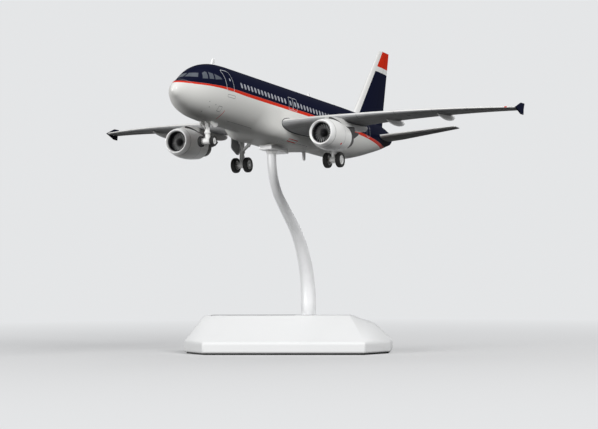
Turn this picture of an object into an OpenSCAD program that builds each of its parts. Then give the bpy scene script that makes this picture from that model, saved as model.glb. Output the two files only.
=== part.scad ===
// Display model of a twin-engined narrow-body airliner, gear down, on a swept metal post.
// Frame: +X to the nose, +Y to port, +Z up. The origin is where the post's swivel axis meets
// the surface that the base stands on. Inside the airframe modules a station is a distance
// aft of the nose tip, and a level is a height above the middle of the fuselage barrel.

/* [Fuselage] */
// Length of the drooped nose, from its tip to the full round barrel
nose_len = 31; // [28:0.5:36]
// Length of the round barrel
barrel_len = 87; // [86:0.5:100]
// Length of the upswept tail cone
tail_len = 66; // [62:0.2:72]
// Width of the barrel
fus_w = 19.75; // [19:0.05:20.4]
// Height of the barrel
fus_h = 20.7; // [20:0.05:21.2]
// Wall of the hollow casting
fus_wall = 1.6; // [1.2:0.1:2]
// Width of the wing fairing under the barrel
fairing_w = 20.8; // [20.6:0.1:21.6]
// Depth of the wing fairing below the middle of the barrel
fairing_d = 11.5; // [11.2:0.1:12]
// Lower corner radius of the wing fairing
fairing_r = 4; // [3:0.1:5]
// Length over which the wing fairing runs out behind the wing
fairing_tail = 15; // [12:0.5:19]

/* [Wing] */
// Station of the leading edge at the wing root
wing_station = 62.5; // [60:0.5:64]
// Chord at the wing root
root_chord = 30.7; // [28:0.1:32]
// Distance of the wingtip from the middle of the aircraft
semi_span = 84.8; // [80:0.1:90]
// Distance of the trailing edge kink from the middle of the aircraft
kink_y = 32; // [30:0.5:36]
// Sweep of the leading edge
wing_sweep = 27.5; // [24:0.5:29]
// Sweep of the outer trailing edge
te_sweep = 16.6; // [14:0.2:18]
// Dihedral of the wing
wing_dihedral = 5.1; // [4:0.1:6.5]
// How far the wing bows up at half of its span
wing_bow = 1.2; // [0.8:0.1:1.5]
// Level of the wing root's leading edge
wing_level = -5.8; // [-6.2:0.1:-5.6]
// Thickness of the root section as a share of its chord
root_thick = 0.15; // [0.14:0.005:0.16]
// Thickness of the tip section as a share of its chord
tip_thick = 0.11; // [0.1:0.005:0.13]
// Height of a wingtip fence above the tip
fence_up = 2.4; // [1.5:0.1:4]
// Depth of a wingtip fence below the tip
fence_down = 1.8; // [1:0.1:3]
// Thickness of the wings' and tail's trailing edges
edge_t = 0.3; // [0.2:0.05:0.4]
// Thickness of a wingtip fence
fence_t = 0.6; // [0.5:0.05:1]
// Distance of the inner flap track fairing from the middle of the aircraft
canoe_inner_y = 41; // [40:0.5:43]
// Distance of the outer flap track fairing from the middle of the aircraft
canoe_outer_y = 58.8; // [57:0.2:62]
// Length of a flap track fairing
canoe_len = 17; // [15:0.5:19]
// Largest radius of a flap track fairing
canoe_r = 1.45; // [1.2:0.05:1.6]
// Length of the root tongue that plugs the wing into the fuselage
tongue_len = 14; // [10:0.5:16]
// Thickness of the root tongue
tongue_t = 1.6; // [1.2:0.1:2]
// How far the root tongue reaches into the fuselage
tongue_in = 3.4; // [3:0.1:4]

/* [Tail] */
// Station of the fin's leading edge at its root, counted forward from the tail end
fin_ahead = 36.7; // [34:0.1:39]
// Chord of the fin at its root
fin_root = 28.5; // [26:0.5:30]
// Chord of the fin at its tip
fin_tip = 9.6; // [8:0.2:11]
// Level of the top of the fin
fin_top = 39.6; // [37:0.1:42]
// Sweep of the fin's leading edge
fin_sweep = 40.8; // [38:0.2:43]
// Thickness of the fin as a share of its chord
fin_thick = 0.1; // [0.09:0.005:0.12]
// Station of the tailplane's leading edge at its root, counted forward from the tail end
tailplane_ahead = 24.5; // [23:0.1:26]
// Chord of the tailplane near its root
tailplane_root = 17; // [15:0.2:18]
// Chord of the tailplane at its tip
tailplane_tip = 6.6; // [5:0.2:8]
// Distance of the tailplane's tip from the middle of the aircraft
tailplane_y = 31.1; // [29:0.1:33]
// Sweep of the tailplane's leading edge
tailplane_sweep = 33; // [30:0.5:36]
// Level of the tailplane at its root
tailplane_level = 2.6; // [2.2:0.1:3.2]
// Thickness of the tailplane as a share of its chord
tailplane_thick = 0.09; // [0.08:0.005:0.12]
// Dihedral of the tailplane
tailplane_dihedral = 10.2; // [8:0.2:12]

/* [Engines] */
// Distance of an engine's axis from the middle of the aircraft
engine_y = 29; // [28:0.1:31]
// Station of the inlet's front edge
engine_station = 55.4; // [53.5:0.1:56.5]
// Level of the engine's axis
engine_level = -11.2; // [-11.8:0.1:-11]
// Largest radius of the fan cowl
cowl_r = 5.6; // [5.3:0.05:5.8]
// Length of the fan cowl with its inlet lip
cowl_len = 16.5; // [15.5:0.1:17.5]
// Length of the bright inlet lip
lip_len = 1.5; // [1.2:0.1:2]
// Radius of the inlet duct at the fan
duct_r = 3.6; // [3.4:0.05:3.8]
// Radius of the core nozzle where it leaves the fan cowl
core_r = 3.3; // [3:0.1:3.5]
// Length of the engine from the inlet to the core nozzle's end
engine_len = 22; // [21:0.1:24]
// Number of fan blades
fan_blades = 22; // [14:1:26]
// Distance of the fan from the front edge of the inlet
fan_depth = 2.9; // [2.6:0.1:3.2]
// Length of the fan along its axis
fan_len = 1.8; // [1.4:0.1:2]
// Radius of the fan's hub
hub_r = 1.05; // [0.95:0.05:1.2]
// Radius of the spindle that the fan turns on
spindle_r = 0.45; // [0.35:0.05:0.5]
// Angle between a fan blade and the engine's axis
blade_pitch = 50; // [40:1:56]
// Gap between the blade tips and the duct
blade_gap = 0.15; // [0.1:0.05:0.25]
// Thickness of the pylon
pylon_t = 1.5; // [1.2:0.1:2]
// Distance of the pylon's rear end from the inlet's front edge
pylon_reach = 30; // [28:0.5:31]

/* [Landing gear] */
// Station of the nose gear
nose_gear_station = 25.4; // [24:0.1:27]
// Level of the nose gear's axle
nose_axle_level = -16.8; // [-17.5:0.1:-16]
// Radius of a nose tyre
nose_tyre_r = 1.9; // [1.7:0.05:2.1]
// Width of a nose tyre
nose_tyre_w = 1.3; // [1.1:0.05:1.4]
// Distance of a nose tyre's middle from the strut's axis
nose_tyre_y = 1.55; // [1.5:0.05:1.7]
// Distance of the main gear behind the leading edge of the wing root
main_gear_aft = 26; // [25:0.1:26.5]
// Distance of a main strut from the middle of the aircraft
main_gear_y = 18.95; // [18:0.05:20]
// Level of a main gear's axle
main_axle_level = -16.6; // [-17.5:0.1:-16]
// Radius of a main tyre
main_tyre_r = 2.85; // [2.6:0.05:3]
// Width of a main tyre
main_tyre_w = 1.9; // [1.6:0.05:2]
// Distance of a main tyre's middle from the strut's axis
main_tyre_y = 2.15; // [2.1:0.05:2.4]
// Radius of the nose strut
nose_strut_r = 0.7; // [0.6:0.05:0.75]
// Radius of a main strut
main_strut_r = 0.95; // [0.8:0.05:1.05]
// Radius of the axles
axle_r = 0.4; // [0.35:0.05:0.45]
// Depth of the sockets that the struts are glued into
strut_socket = 1.2; // [1:0.1:1.3]

/* [Aerials] */
// Station of the forward upper aerial
front_aerial_station = 28.5; // [27:0.1:31]
// Station of the rear upper aerial
rear_aerial_station = 106.4; // [104:0.1:108]
// Station of the small aerial ahead of the fin
aft_aerial_station = 128.5; // [127:0.1:132]
// Height of the forward upper aerial
aerial_h = 2.5; // [2:0.1:3]
// Station of the belly aerial
belly_aerial = 102.5; // [100:0.5:104]
// Height of the belly aerial
belly_aerial_h = 3.2; // [2.6:0.1:3.6]

/* [Stand] */
// Nose-up angle at which the stand holds the aircraft
nose_up = 5; // [0:0.5:8]
// Lean of the aircraft to starboard on its peg
lean = 1.7; // [0:0.1:3]
// Turn of the base against the aircraft
base_turn = 20.5; // [0:0.5:40]
// Height of the pad's upper face above the table
pad_z = 76.5; // [76:0.1:82]
// How far the top of the post stands ahead of its foot
post_reach = 30.6; // [27:0.1:31.2]
// Station of the middle of the pad
pad_station = 75.4; // [74:0.1:80]
// Length of the pad ahead of the peg
pad_ahead = 5; // [4.5:0.5:7]
// Length of the pad behind the peg
pad_behind = 9; // [6:0.5:9.5]
// Width of the pad
pad_w = 5; // [4.6:0.1:6]
// Thickness of the pad
pad_t = 1.6; // [1.4:0.1:2]
// Gap between the pad and the belly, which the moulded boss bridges
belly_gap = 0.85; // [0.6:0.05:1]
// Radius of the peg that the aircraft stands on
peg_r = 1.2; // [1:0.05:1.4]
// Length of the peg above the pad
peg_len = 5.5; // [4:0.1:6.5]
// Radius of the post at its foot
post_r = 2.85; // [2.5:0.05:3.1]
// Radius of the post at its top
post_top_r = 1.65; // [1.5:0.05:1.8]
// Radius of the lower bend of the post
bend_low = 39; // [36:0.5:40]
// Radius of the upper bend of the post
bend_high = 20.8; // [19:0.2:21.4]
// Length of the post's straight foot
post_foot = 4.7; // [4:0.1:5]
// Length of the post's straight top
post_head = 1.1; // [0.5:0.1:1.4]

/* [Base] */
// Height of the base with its feet
base_h = 14.2; // [12:0.1:16]
// Distance from the post to the base's far end
base_left = 46.6; // [42:0.5:52]
// Distance from the post to the base's near end
base_right = 31.4; // [28:0.2:36]
// Half of the depth of the base
base_half = 21; // [18:0.5:26]
// Height of the base's upright skirt
skirt_h = 3.4; // [2.5:0.1:5]
// Half of the depth of the flat top
top_half = 4.6; // [4.2:0.1:6]
// How far the ends of the top stand in from the skirt
end_slope = 7.2; // [5:0.1:10]
// Length of the ramp at the near end of the top
ramp_len = 8.6; // [6:0.1:10]
// Drop of the ramp
ramp_drop = 3.4; // [2:0.1:5]
// Length of a cut corner along the base
corner_x = 8.8; // [6:0.1:12]
// Length of a cut corner across the base
corner_y = 14; // [8:0.2:16]
// Rounding of the base's edges
base_round = 0.6; // [0.4:0.1:1]
// Wall of the moulded base
base_wall = 1.6; // [1.4:0.1:2.2]
// Thickness of the rubber sheet under the base
sheet_t = 0.6; // [0.5:0.1:1]
// Thickness of the weight inside the base
weight_t = 4.5; // [3:0.5:5]
// Length of the bare plate let into the top
plate_len = 32; // [24:1:38]

/* [Hidden] */

main_gear_station = wing_station + main_gear_aft;
seam = 0.03;
fit = 0.03;
running = 0.05;
seat_gap = 0.1;
fus_len = nose_len + barrel_len + tail_len;
tail_start = nose_len + barrel_len;
quarter = 10;

function mix(a, b, t) = a + (b - a) * t;
function smooth(t) = let (u = min(1, max(0, t))) u * u * (3 - 2 * u);
function table(t, rows, col, i = 0) =
    t <= rows[0][0] ? rows[0][col]
    : i >= len(rows) - 1 ? rows[len(rows) - 1][col]
    : t <= rows[i + 1][0]
        ? mix(rows[i][col], rows[i + 1][col], (t - rows[i][0]) / (rows[i + 1][0] - rows[i][0]))
    : table(t, rows, col, i + 1);

// Fuselage form: share of the length, then crown, keel and half-width as shares of the barrel
nose_form = [[0, -0.25, -0.29, 0.03], [0.008, -0.19, -0.34, 0.085], [0.03, -0.125, -0.42, 0.17],
    [0.07, -0.045, -0.51, 0.265], [0.13, 0.055, -0.63, 0.375], [0.2, 0.15, -0.73, 0.485],
    [0.27, 0.255, -0.81, 0.585], [0.35, 0.435, -0.88, 0.68], [0.44, 0.63, -0.93, 0.765],
    [0.54, 0.79, -0.965, 0.85], [0.66, 0.905, -0.985, 0.92], [0.82, 0.98, -0.998, 0.98], [1, 1, -1, 1]];
tail_form = [[0, 1, -1, 1], [0.1, 1, -0.99, 1], [0.2, 1, -0.945, 0.98], [0.32, 0.995, -0.865, 0.92],
    [0.42, 0.985, -0.745, 0.84], [0.53, 0.955, -0.59, 0.735], [0.63, 0.92, -0.435, 0.62],
    [0.74, 0.87, -0.26, 0.48], [0.83, 0.81, -0.11, 0.365], [0.93, 0.71, 0.085, 0.23],
    [0.98, 0.64, 0.18, 0.16], [1, 0.57, 0.25, 0.1]];
fair_a = wing_station - 14;
fair_b = wing_station - 1.5;
fair_c = wing_station + root_chord + 1.8;
fair_d = fair_c + fairing_tail;

function fus_col(s, col) = s < nose_len ? table(s / nose_len, nose_form, col)
    : s < tail_start ? [0, 1, -1, 1][col]
    : table((s - tail_start) / tail_len, tail_form, col);
function crown(s) = fus_col(s, 1) * fus_h / 2;
function keel(s) = fus_col(s, 2) * fus_h / 2;
function half_w(s) = fus_col(s, 3) * fus_w / 2;
function side_at(s, z) = let (c = (crown(s) + keel(s)) / 2, h = (crown(s) - keel(s)) / 2)
    half_w(s) * sqrt(max(0, 1 - pow((z - c) / h, 2)));
function bulge(s) = smooth((s - fair_a) / (fair_b - fair_a)) * (1 - smooth((s - fair_c) / (fair_d - fair_c)));
function belly(s) = mix(keel(s), -fairing_d, bulge(s));

// Outline of the wing fairing, from its upper edge to the middle of the belly
function fairing_outline(f) =
    let (w = fairing_w / 2, r = fairing_r, d = fairing_d, top = 1.5)
    f < 0.11 ? [mix(fus_w / 2, w, f / 0.1), -top * f / 0.1]
    : f < 0.41 ? [w, mix(-top, r - d, (f - 0.1) / 0.3)]
    : f < 0.81 ? let (a = (f - 0.4) / 0.4 * 90) [w - r + r * cos(a), r - d - r * sin(a)]
    : [(w - r) * (1 - f) / 0.2, -d];
function fus_point(s, k) =
    let (a = 90 * k / quarter, c = (crown(s) + keel(s)) / 2, h = (crown(s) - keel(s)) / 2,
        round_p = [half_w(s) * sin(a), c + h * cos(a)],
        p = k <= quarter ? round_p : mix(round_p, fairing_outline(k / quarter - 1), bulge(s)))
    [-s, p.x, p.y];
function fus_ring(s) = concat([for (k = [0:2 * quarter]) fus_point(s, k)],
    [for (k = [2 * quarter - 1:-1:1]) let (p = fus_point(s, k)) [p.x, -p.y, p.z]]);
fus_stations = concat([for (r = nose_form) r[0] * nose_len],
    [for (t = [0, 0.2, 0.4, 0.6, 0.8, 1]) mix(fair_a, fair_b, t)],
    [for (t = [0, 0.15, 0.3, 0.45, 0.6, 0.8, 1]) mix(fair_c, fair_d, t)],
    [for (r = tail_form) tail_start + r[0] * tail_len]);

// Skins a list of rings that all have n points, counted the same way round. The end caps are
// strips between the two sides of a ring, so a ring may follow a curved surface.
module loft(rings, flip = false) {
    n = len(rings[0]);
    m = len(rings);
    points = [for (r = rings) for (p = r) p];
    sides = [for (i = [0:m - 2]) for (j = [0:n - 1]) let (k = (j + 1) % n)
        each [[i * n + j, i * n + k, (i + 1) * n + j], [i * n + k, (i + 1) * n + k, (i + 1) * n + j]]];
    h = floor(n / 2);
    cap = concat([for (j = [0:h - 1]) if (j + 1 != n - 1 - j) [j, n - 1 - j, j + 1]],
        [for (j = [0:h - 2]) if (j + 1 != n - 2 - j) [j + 1, n - 1 - j, n - 2 - j]]);
    first = [for (f = cap) [f[0], f[1], f[2]]];
    last = [for (f = cap) [f[2] + (m - 1) * n, f[1] + (m - 1) * n, f[0] + (m - 1) * n]];
    faces = concat(sides, first, last);
    polyhedron(points, flip ? faces : [for (f = faces) [f[2], f[1], f[0]]], convexity = 6);
}

// Wing geometry
root_y = fairing_w / 2 + seam;
wing_te = wing_station + root_chord;
function wing_le(y) = wing_station + (y - root_y) * tan(wing_sweep);
function wing_tr(y) = y < kink_y ? wing_te : wing_te + (y - kink_y) * tan(te_sweep);
function wing_share(y) = (y - root_y) / (semi_span - root_y);
function wing_z(y) = wing_level + (y - root_y) * tan(wing_dihedral)
    + wing_bow * 4 * wing_share(y) * (1 - wing_share(y));
function wing_thick(y) = mix(root_thick, tip_thick, min(1, wing_share(y) * 1.6));
function wing_twist(y) = mix(2.5, -0.5, wing_share(y));
function half_thick(t) = 5 * (0.2969 * sqrt(t) - 0.126 * t - 0.3516 * t * t + 0.2843 * pow(t, 3)
    - 0.1036 * pow(t, 4));
function wing_surface(s, y, side) =
    let (c = wing_tr(y) - wing_le(y), t = min(1, max(0, (s - wing_le(y)) / c)))
    wing_z(y) + c * (0.06 * t * (1 - t) + side * wing_thick(y) * half_thick(t)) + side * edge_t / 2 * t
        - (s - wing_le(y)) * tan(wing_twist(y));
foil_n = 10;
foil_t = [for (j = [0:foil_n]) (1 + cos(180 * j / foil_n)) / 2];
function wing_point(y, t, side) = let (s = mix(wing_le(y), wing_tr(y), t)) [-s, y, wing_surface(s, y, side)];
function wing_ring(y) = concat([for (t = foil_t) wing_point(y, t, 1)],
    [for (j = [foil_n - 1:-1:0]) wing_point(y, foil_t[j], -1)]);
wing_ys = [root_y, mix(root_y, kink_y, 0.5), kink_y, mix(kink_y, semi_span, 0.33),
    mix(kink_y, semi_span, 0.66), semi_span - 1.2, semi_span];
tongue_s = wing_station + root_chord * 0.42;
tongue_z = (wing_surface(tongue_s, root_y, 1) + wing_surface(tongue_s, root_y, -1)) / 2;

// Places the airframe on the stand: local X runs forward from the nose tip
boss_h = belly_gap - seat_gap;
module on_stand() {
    on_pad()
        translate([pad_station, 0, fairing_d + belly_gap])
            children();
}

// Places the pad and its peg: Z = 0 is the pad's upper face
module on_pad() {
    translate([post_reach, 0, pad_z])
        rotate([0, -nose_up, 0])
            rotate([lean, 0, 0])
                children();
}

// Turns a piece so that its +Z runs aft from a station
module aft(s, y, z) {
    translate([-s, y, z]) rotate([0, -90, 0]) children();
}

// Turns a piece so that its +Z runs to port
module across(s, y, z) {
    translate([-s, y, z]) rotate([-90, 0, 0]) children();
}

module mirror_to(side) {
    mirror([0, side > 0 ? 0 : 1, 0]) children();
}

module fuselage() {
    color("#e6e4de") on_stand() difference() {
        union() {
            loft([for (s = fus_stations) fus_ring(s)]);
            translate([-pad_station, 0, -fairing_d - boss_h])
                cylinder(h = boss_h + 2, r = peg_r + 0.9, $fn = 40);
        }
        difference() {
            fuselage_cavity();
            translate([-pad_station, 0, -fairing_d])
                cylinder(h = peg_len + 2.5, r = peg_r + 1.6, $fn = 40);
            translate([-nose_gear_station, 0, keel(nose_gear_station)])
                cylinder(h = strut_socket + 2.5, r = nose_strut_r + 1, $fn = 32);
        }
        translate([-pad_station, 0, -fairing_d - boss_h - 1])
            cylinder(h = peg_len + boss_h + 1.3, r = peg_r + running, $fn = 40);
        translate([-nose_gear_station, 0, keel(nose_gear_station) - 1])
            cylinder(h = strut_socket + 1, r = nose_strut_r + fit, $fn = 32);
        for (side = [-1, 1])
            mirror_to(side)
                translate([-tongue_s, fairing_w / 2 - tongue_in - fit, tongue_z])
                    translate([-tongue_len / 2 - fit, 0, -tongue_t / 2 - fit])
                        cube([tongue_len + 2 * fit, tongue_in + 1, tongue_t + 2 * fit]);
    }
}

// Hollow of the casting: a round barrel with a cone down into the nose and one up into the tail
module fuselage_cavity() {
    r = fus_w / 2 - fus_wall;
    aft(nose_len - 2, 0, 0)
        cylinder(h = barrel_len + 2, r = r, $fn = 72);
    aft(nose_len, 0, 0)
        rotate([0, 180 + cavity_droop, 0])
            cylinder(h = nose_len * 0.6, r1 = r - 0.4, r2 = r * 0.55, $fn = 48);
    aft(tail_start - 4, 0, 0)
        rotate([0, cavity_rise, 0])
            cylinder(h = tail_len * 0.7, r1 = r - 0.2, r2 = r * 0.3, $fn = 48);
}
cavity_droop = 6;
cavity_rise = 5;

module wing(side) {
    mirror_to(side) difference() {
        union() {
            loft([for (y = wing_ys) wing_ring(y)]);
            translate([-tongue_s - tongue_len / 2, fairing_w / 2 - tongue_in, tongue_z - tongue_t / 2])
                cube([tongue_len, tongue_in + 1, tongue_t]);
            for (y = [canoe_inner_y, canoe_outer_y])
                flap_fairing(y);
        }
        translate([-main_gear_station, main_gear_y, wing_surface(main_gear_station, main_gear_y, -1) - 1])
            cylinder(h = strut_socket + 1, r = main_strut_r + fit, $fn = 32);
    }
}

// Canoe-shaped fairing over a flap track, half sunk in the wing and running past its edge
module flap_fairing(y) {
    s = wing_tr(y) - canoe_len * 0.6;
    z = wing_surface(wing_tr(y) - canoe_len * 0.2, y, -1) - canoe_r * 0.35;
    aft(s, y, z)
        rotate([0, 1.5, 0])
            rotate_extrude($fn = 24)
                polygon([for (t = [0:0.1:1]) [canoe_r * pow(sin(180 * pow(t, 1.4)), 0.6), t * canoe_len]]);
}

// Swept plate that stands above and below the tip
module fence(side) {
    s = wing_le(semi_span);
    z = wing_z(semi_span);
    c = wing_tr(semi_span) - s;
    mirror_to(side)
        translate([0, semi_span + seam + fence_t, 0])
            rotate([90, 0, 0])
                linear_extrude(fence_t)
                    translate([-s, z])
                        polygon([[0.4, 0], [-c * 0.72, fence_up], [-c * 1.15, fence_up * 1.04],
                            [-c * 1.02, 0.2], [-c, -fence_down], [-c * 0.7, -fence_down]]);
}

// Vertical tail: symmetric sections between its root on the crown and its square tip
fin_le0 = fus_len - fin_ahead;
fin_z0 = crown(fin_le0);
function fin_le(z) = fin_le0 + (z - fin_z0) * tan(fin_sweep);
function fin_chord(z) = mix(fin_root, fin_tip, (z - fin_z0) / (fin_top - fin_z0));
function fin_ring(z, grow = 1, root = false) = let (c = fin_chord(z))
    concat([for (t = foil_t) fin_point(z, c, t, 1, grow, root)],
        [for (j = [foil_n - 1:-1:0]) fin_point(z, c, foil_t[j], -1, grow, root)]);
function fin_point(z, c, t, side, grow, root) = let (s = fin_le(z) + t * c)
    [-s, side * (c * fin_thick * half_thick(t) + edge_t / 2 * t) * grow, root ? crown(s) + seam : z];
module fin() {
    color("#1b2033") on_stand() difference() {
        loft([fin_ring(fin_z0, 1, true), fin_ring(mix(fin_z0, fin_top, 0.25)),
            fin_ring(mix(fin_z0, fin_top, 0.6)), fin_ring(fin_top - 0.5), fin_ring(fin_top, 0.55)], true);
        for (side = [-1, 1])
            mirror_to(side)
                rudder_groove();
    }
}

// Shallow engraved line along the rudder hinge
module rudder_groove() {
    c0 = fin_chord(fin_z0 + 3);
    c1 = fin_chord(fin_top - 3);
    y0 = c0 * fin_thick * half_thick(0.68);
    y1 = c1 * fin_thick * half_thick(0.68);
    a = [-fin_le(fin_z0 + 3) - 0.68 * c0, y0, fin_z0 + 3];
    b = [-fin_le(fin_top - 3) - 0.68 * c1, y1, fin_top - 3];
    d = b - a;
    translate(a)
        rotate([0, 0, atan2(d.y, d.x)])
            rotate([0, atan2(norm([d.x, d.y]), d.z), 0])
                translate([-0.1, -0.1, 0])
                    cube([0.2, 0.2, norm(d)]);
}

// Horizontal tail: each half starts on the side of the tail cone and follows its curve
tail_le0 = fus_len - tailplane_ahead;
tail_y0 = 5;
function tail_le(y) = tail_le0 + (y - tail_y0) * tan(tailplane_sweep);
function tail_chord(y) = mix(tailplane_root, tailplane_tip, (y - tail_y0) / (tailplane_y - tail_y0));
function tail_z(y) = tailplane_level + (y - tail_y0) * tan(tailplane_dihedral);
function tail_point(y, t, side, grow, root) =
    let (c = tail_chord(y), s = tail_le(y) + t * c,
        z = tail_z(y) + side * (c * tailplane_thick * half_thick(t) + edge_t / 2 * t) * grow)
    [-s, root ? side_at(s, z) + seam + 0.1 : y, z];
function tail_ring(y, grow = 1, root = false) = concat([for (t = foil_t) tail_point(y, t, 1, grow, root)],
    [for (j = [foil_n - 1:-1:0]) tail_point(y, foil_t[j], -1, grow, root)]);
module tailplane(side) {
    mirror_to(side)
        loft([tail_ring(tail_y0, 1, true), tail_ring(mix(tail_y0, tailplane_y, 0.35)),
            tail_ring(tailplane_y - 0.5), tail_ring(tailplane_y, 0.55)]);
}

// Outline of the fan cowl: share of its length, then radius as a share of the largest
cowl_form = [[0, 0.755], [0.012, 0.785], [0.035, 0.815], [0.09, 0.865], [0.16, 0.915], [0.25, 0.96],
    [0.35, 0.99], [0.45, 1], [0.58, 0.99], [0.72, 0.955], [0.86, 0.905], [1, 0.845]];
bulkhead_z = fan_depth + fan_len + 0.35;
nozzle_r = cowl_r * 0.845 - 0.3;
function cowl_radius(x) = table(x / cowl_len, cowl_form, 1) * cowl_r;
module inlet_lip(side) {
    front = [for (r = cowl_form) if (r[0] * cowl_len < lip_len - 0.05) [r[1] * cowl_r, r[0] * cowl_len]];
    mirror_to(side)
        aft(engine_station, engine_y, engine_level)
            rotate_extrude($fn = 72)
                polygon(concat(front, [[cowl_radius(lip_len), lip_len], [duct_r, lip_len],
                    [duct_r + 0.03, lip_len * 0.6], [duct_r + 0.16, lip_len * 0.25], [duct_r + 0.38, 0.06]]));
}
module cowl(side) {
    back = [for (r = cowl_form) if (r[0] * cowl_len > lip_len + 0.3) [r[1] * cowl_r, r[0] * cowl_len]];
    mirror_to(side)
        aft(engine_station, engine_y, engine_level)
            rotate_extrude($fn = 72)
                polygon(concat([[duct_r, lip_len + seam], [cowl_radius(lip_len) - 0.12, lip_len + seam],
                    [cowl_radius(lip_len + 0.15), lip_len + 0.15]], back,
                    [[nozzle_r, cowl_len], [nozzle_r, bulkhead_z], [duct_r, bulkhead_z]]));
}

// Core of the engine: the bulkhead that closes the duct, the spindle, the nozzle and its plug
module core(side) {
    taper = core_r * 0.72;
    mirror_to(side)
        aft(engine_station, engine_y, engine_level)
            rotate_extrude($fn = 60)
                polygon([[0, fan_depth + 0.3], [spindle_r, fan_depth + 0.3], [spindle_r, bulkhead_z],
                    [nozzle_r - fit, bulkhead_z], [nozzle_r - fit, bulkhead_z + 1.2],
                    [core_r, bulkhead_z + 1.6],
                    [core_r + 0.1, cowl_len - 2], [core_r, cowl_len],
                    [mix(core_r, taper, 0.4), mix(cowl_len, engine_len, 0.45)],
                    [taper, engine_len], [taper - 0.25, engine_len], [taper - 0.25, engine_len - 1.4],
                    [taper * 0.62, engine_len - 1.4], [taper * 0.5, engine_len],
                    [0.25, engine_len + 1.8], [0, engine_len + 1.9]]);
}

// Fan: a hub with its pointed spinner, and pitched blades that widen and sweep back to their tips
blade_r = duct_r - blade_gap;
blade_t = 0.14;
module fan_blade() {
    wide = fan_len / 2 / cos(blade_pitch);
    mid = mix(hub_r, blade_r, 0.55);
    rotate([90 - blade_pitch, 0, 0])
        linear_extrude(blade_t, center = true)
            polygon([[hub_r - 0.2, -wide * 0.4], [mid, -wide * 0.62], [blade_r + 0.3, -wide * 0.72],
                [blade_r + 0.3, wide * 0.82], [mid, wide * 0.74], [hub_r - 0.2, wide * 0.42]]);
}
module fan(side) {
    mirror_to(side)
        aft(engine_station, engine_y, engine_level)
            difference() {
                union() {
                    rotate_extrude($fn = 40)
                        polygon([[0, fan_depth - 1.7], [0.35, fan_depth - 1.45], [0.75, fan_depth - 0.8],
                            [hub_r, fan_depth], [hub_r, fan_depth + fan_len], [0, fan_depth + fan_len]]);
                    intersection() {
                        for (i = [0:fan_blades - 1])
                            rotate([0, 0, 360 * i / fan_blades])
                                translate([0, 0, fan_depth + fan_len / 2])
                                    fan_blade();
                        translate([0, 0, fan_depth])
                            cylinder(h = fan_len, r = blade_r, $fn = 60);
                    }
                }
                translate([0, 0, fan_depth + 0.2])
                    cylinder(h = fan_len + 1, r = spindle_r + running, $fn = 36);
            }
}

// Pylon: a plate between the cowl, the core and the underside of the wing
pylon_front = engine_station + 4.2;
pylon_back = engine_station + pylon_reach;
function cowl_top(s) = engine_level + cowl_radius(s - engine_station) + seam;
module pylon(side) {
    le = wing_le(engine_y);
    cowl_end = engine_station + cowl_len;
    under = [for (t = [0:0.125:1]) let (s = mix(le + 0.8, pylon_back, t))
        [-s, wing_surface(s, engine_y, -1) - 0.18]];
    over = [for (t = [0:0.2:1]) let (s = mix(pylon_front, cowl_end, t)) [-s, cowl_top(s) + 0.03]];
    mirror_to(side)
        translate([0, engine_y + pylon_t / 2, 0])
            rotate([90, 0, 0])
                linear_extrude(pylon_t)
                    polygon(concat([[-pylon_front - 2.5, cowl_top(pylon_front + 2.5) + 0.7],
                        [-pylon_front - 6, cowl_top(pylon_front + 6) + 1.25]], under,
                        [[-pylon_back - 2.4, wing_surface(pylon_back + 2.4, engine_y, -1) - 0.9],
                        [-pylon_back, wing_surface(pylon_back, engine_y, -1) - 1.5],
                        [-engine_station - engine_len, engine_level + core_r * 0.72 + 0.9],
                        [-cowl_end - 2, engine_level + core_r + 0.1],
                        [-cowl_end - 0.1, engine_level + core_r + 0.1],
                        [-cowl_end - 0.1, cowl_top(cowl_end) + 0.03]],
                        [for (i = [len(over) - 1:-1:0]) over[i]]));
}

// Wheel pieces, centred on the strut's axis: tyre, hub and axle
module tyre(r, w) {
    rotate_extrude($fn = 48)
        polygon([[r * 0.6, -w * 0.42], [r * 0.85, -w / 2], [r * 0.95, -w * 0.4], [r, -w * 0.2],
            [r, w * 0.2], [r * 0.95, w * 0.4], [r * 0.85, w / 2], [r * 0.6, w * 0.42]]);
}
module hub(r, w) {
    rotate_extrude($fn = 40)
        polygon([[axle_r, -w * 0.42], [r * 0.6, -w * 0.42], [r * 0.6, w * 0.42], [r * 0.52, w * 0.42],
            [r * 0.4, w * 0.28], [r * 0.3, w * 0.28], [r * 0.26, w * 0.46], [axle_r, w * 0.46]]);
}
module wheel_pair(s, y, z, gap) {
    for (side = [-1, 1])
        translate([-s, y + side * gap, z])
            rotate([-90 * side, 0, 0])
                children();
}
module axle(s, y, z, half) {
    across(s, y - half, z)
        cylinder(h = 2 * half, r = axle_r, $fn = 32);
}

// Strut with its axle tube, oleo and torque link, from the socket down to the axle
module strut(s, y, top, z, r, tube) {
    difference() {
        union() {
            translate([-s, y, mix(z, top, 0.45)])
                cylinder(h = top - mix(z, top, 0.45) + strut_socket - 0.1, r = r, $fn = 32);
            translate([-s, y, z])
                cylinder(h = mix(z, top, 0.5) - z, r = r * 0.68, $fn = 32);
            translate([-s, y, mix(z, top, 0.42)])
                cylinder(h = r * 0.7, r = r * 1.25, $fn = 32);
            across(s, y - tube, z)
                cylinder(h = 2 * tube, r = axle_r + 0.42, $fn = 32);
            torque_link(s, y, z, mix(z, top, 0.48), r);
        }
        across(s, y - tube - 1, z)
            cylinder(h = 2 * tube + 2, r = axle_r + running, $fn = 32);
    }
}
module torque_link(s, y, z, top, r) {
    mid = (z + top) / 2;
    translate([-s, y + r * 0.35, 0])
        rotate([90, 0, 0])
            linear_extrude(r * 0.7)
                polygon([[-r * 0.4, top + 0.3], [-r * 2, mid + 0.25], [-r * 2.1, mid - 0.2],
                    [-r * 0.4, z + 0.6], [-r * 0.4, z + 1.1], [-r * 1.5, mid], [-r * 0.4, top - 0.4]]);
}
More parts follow.
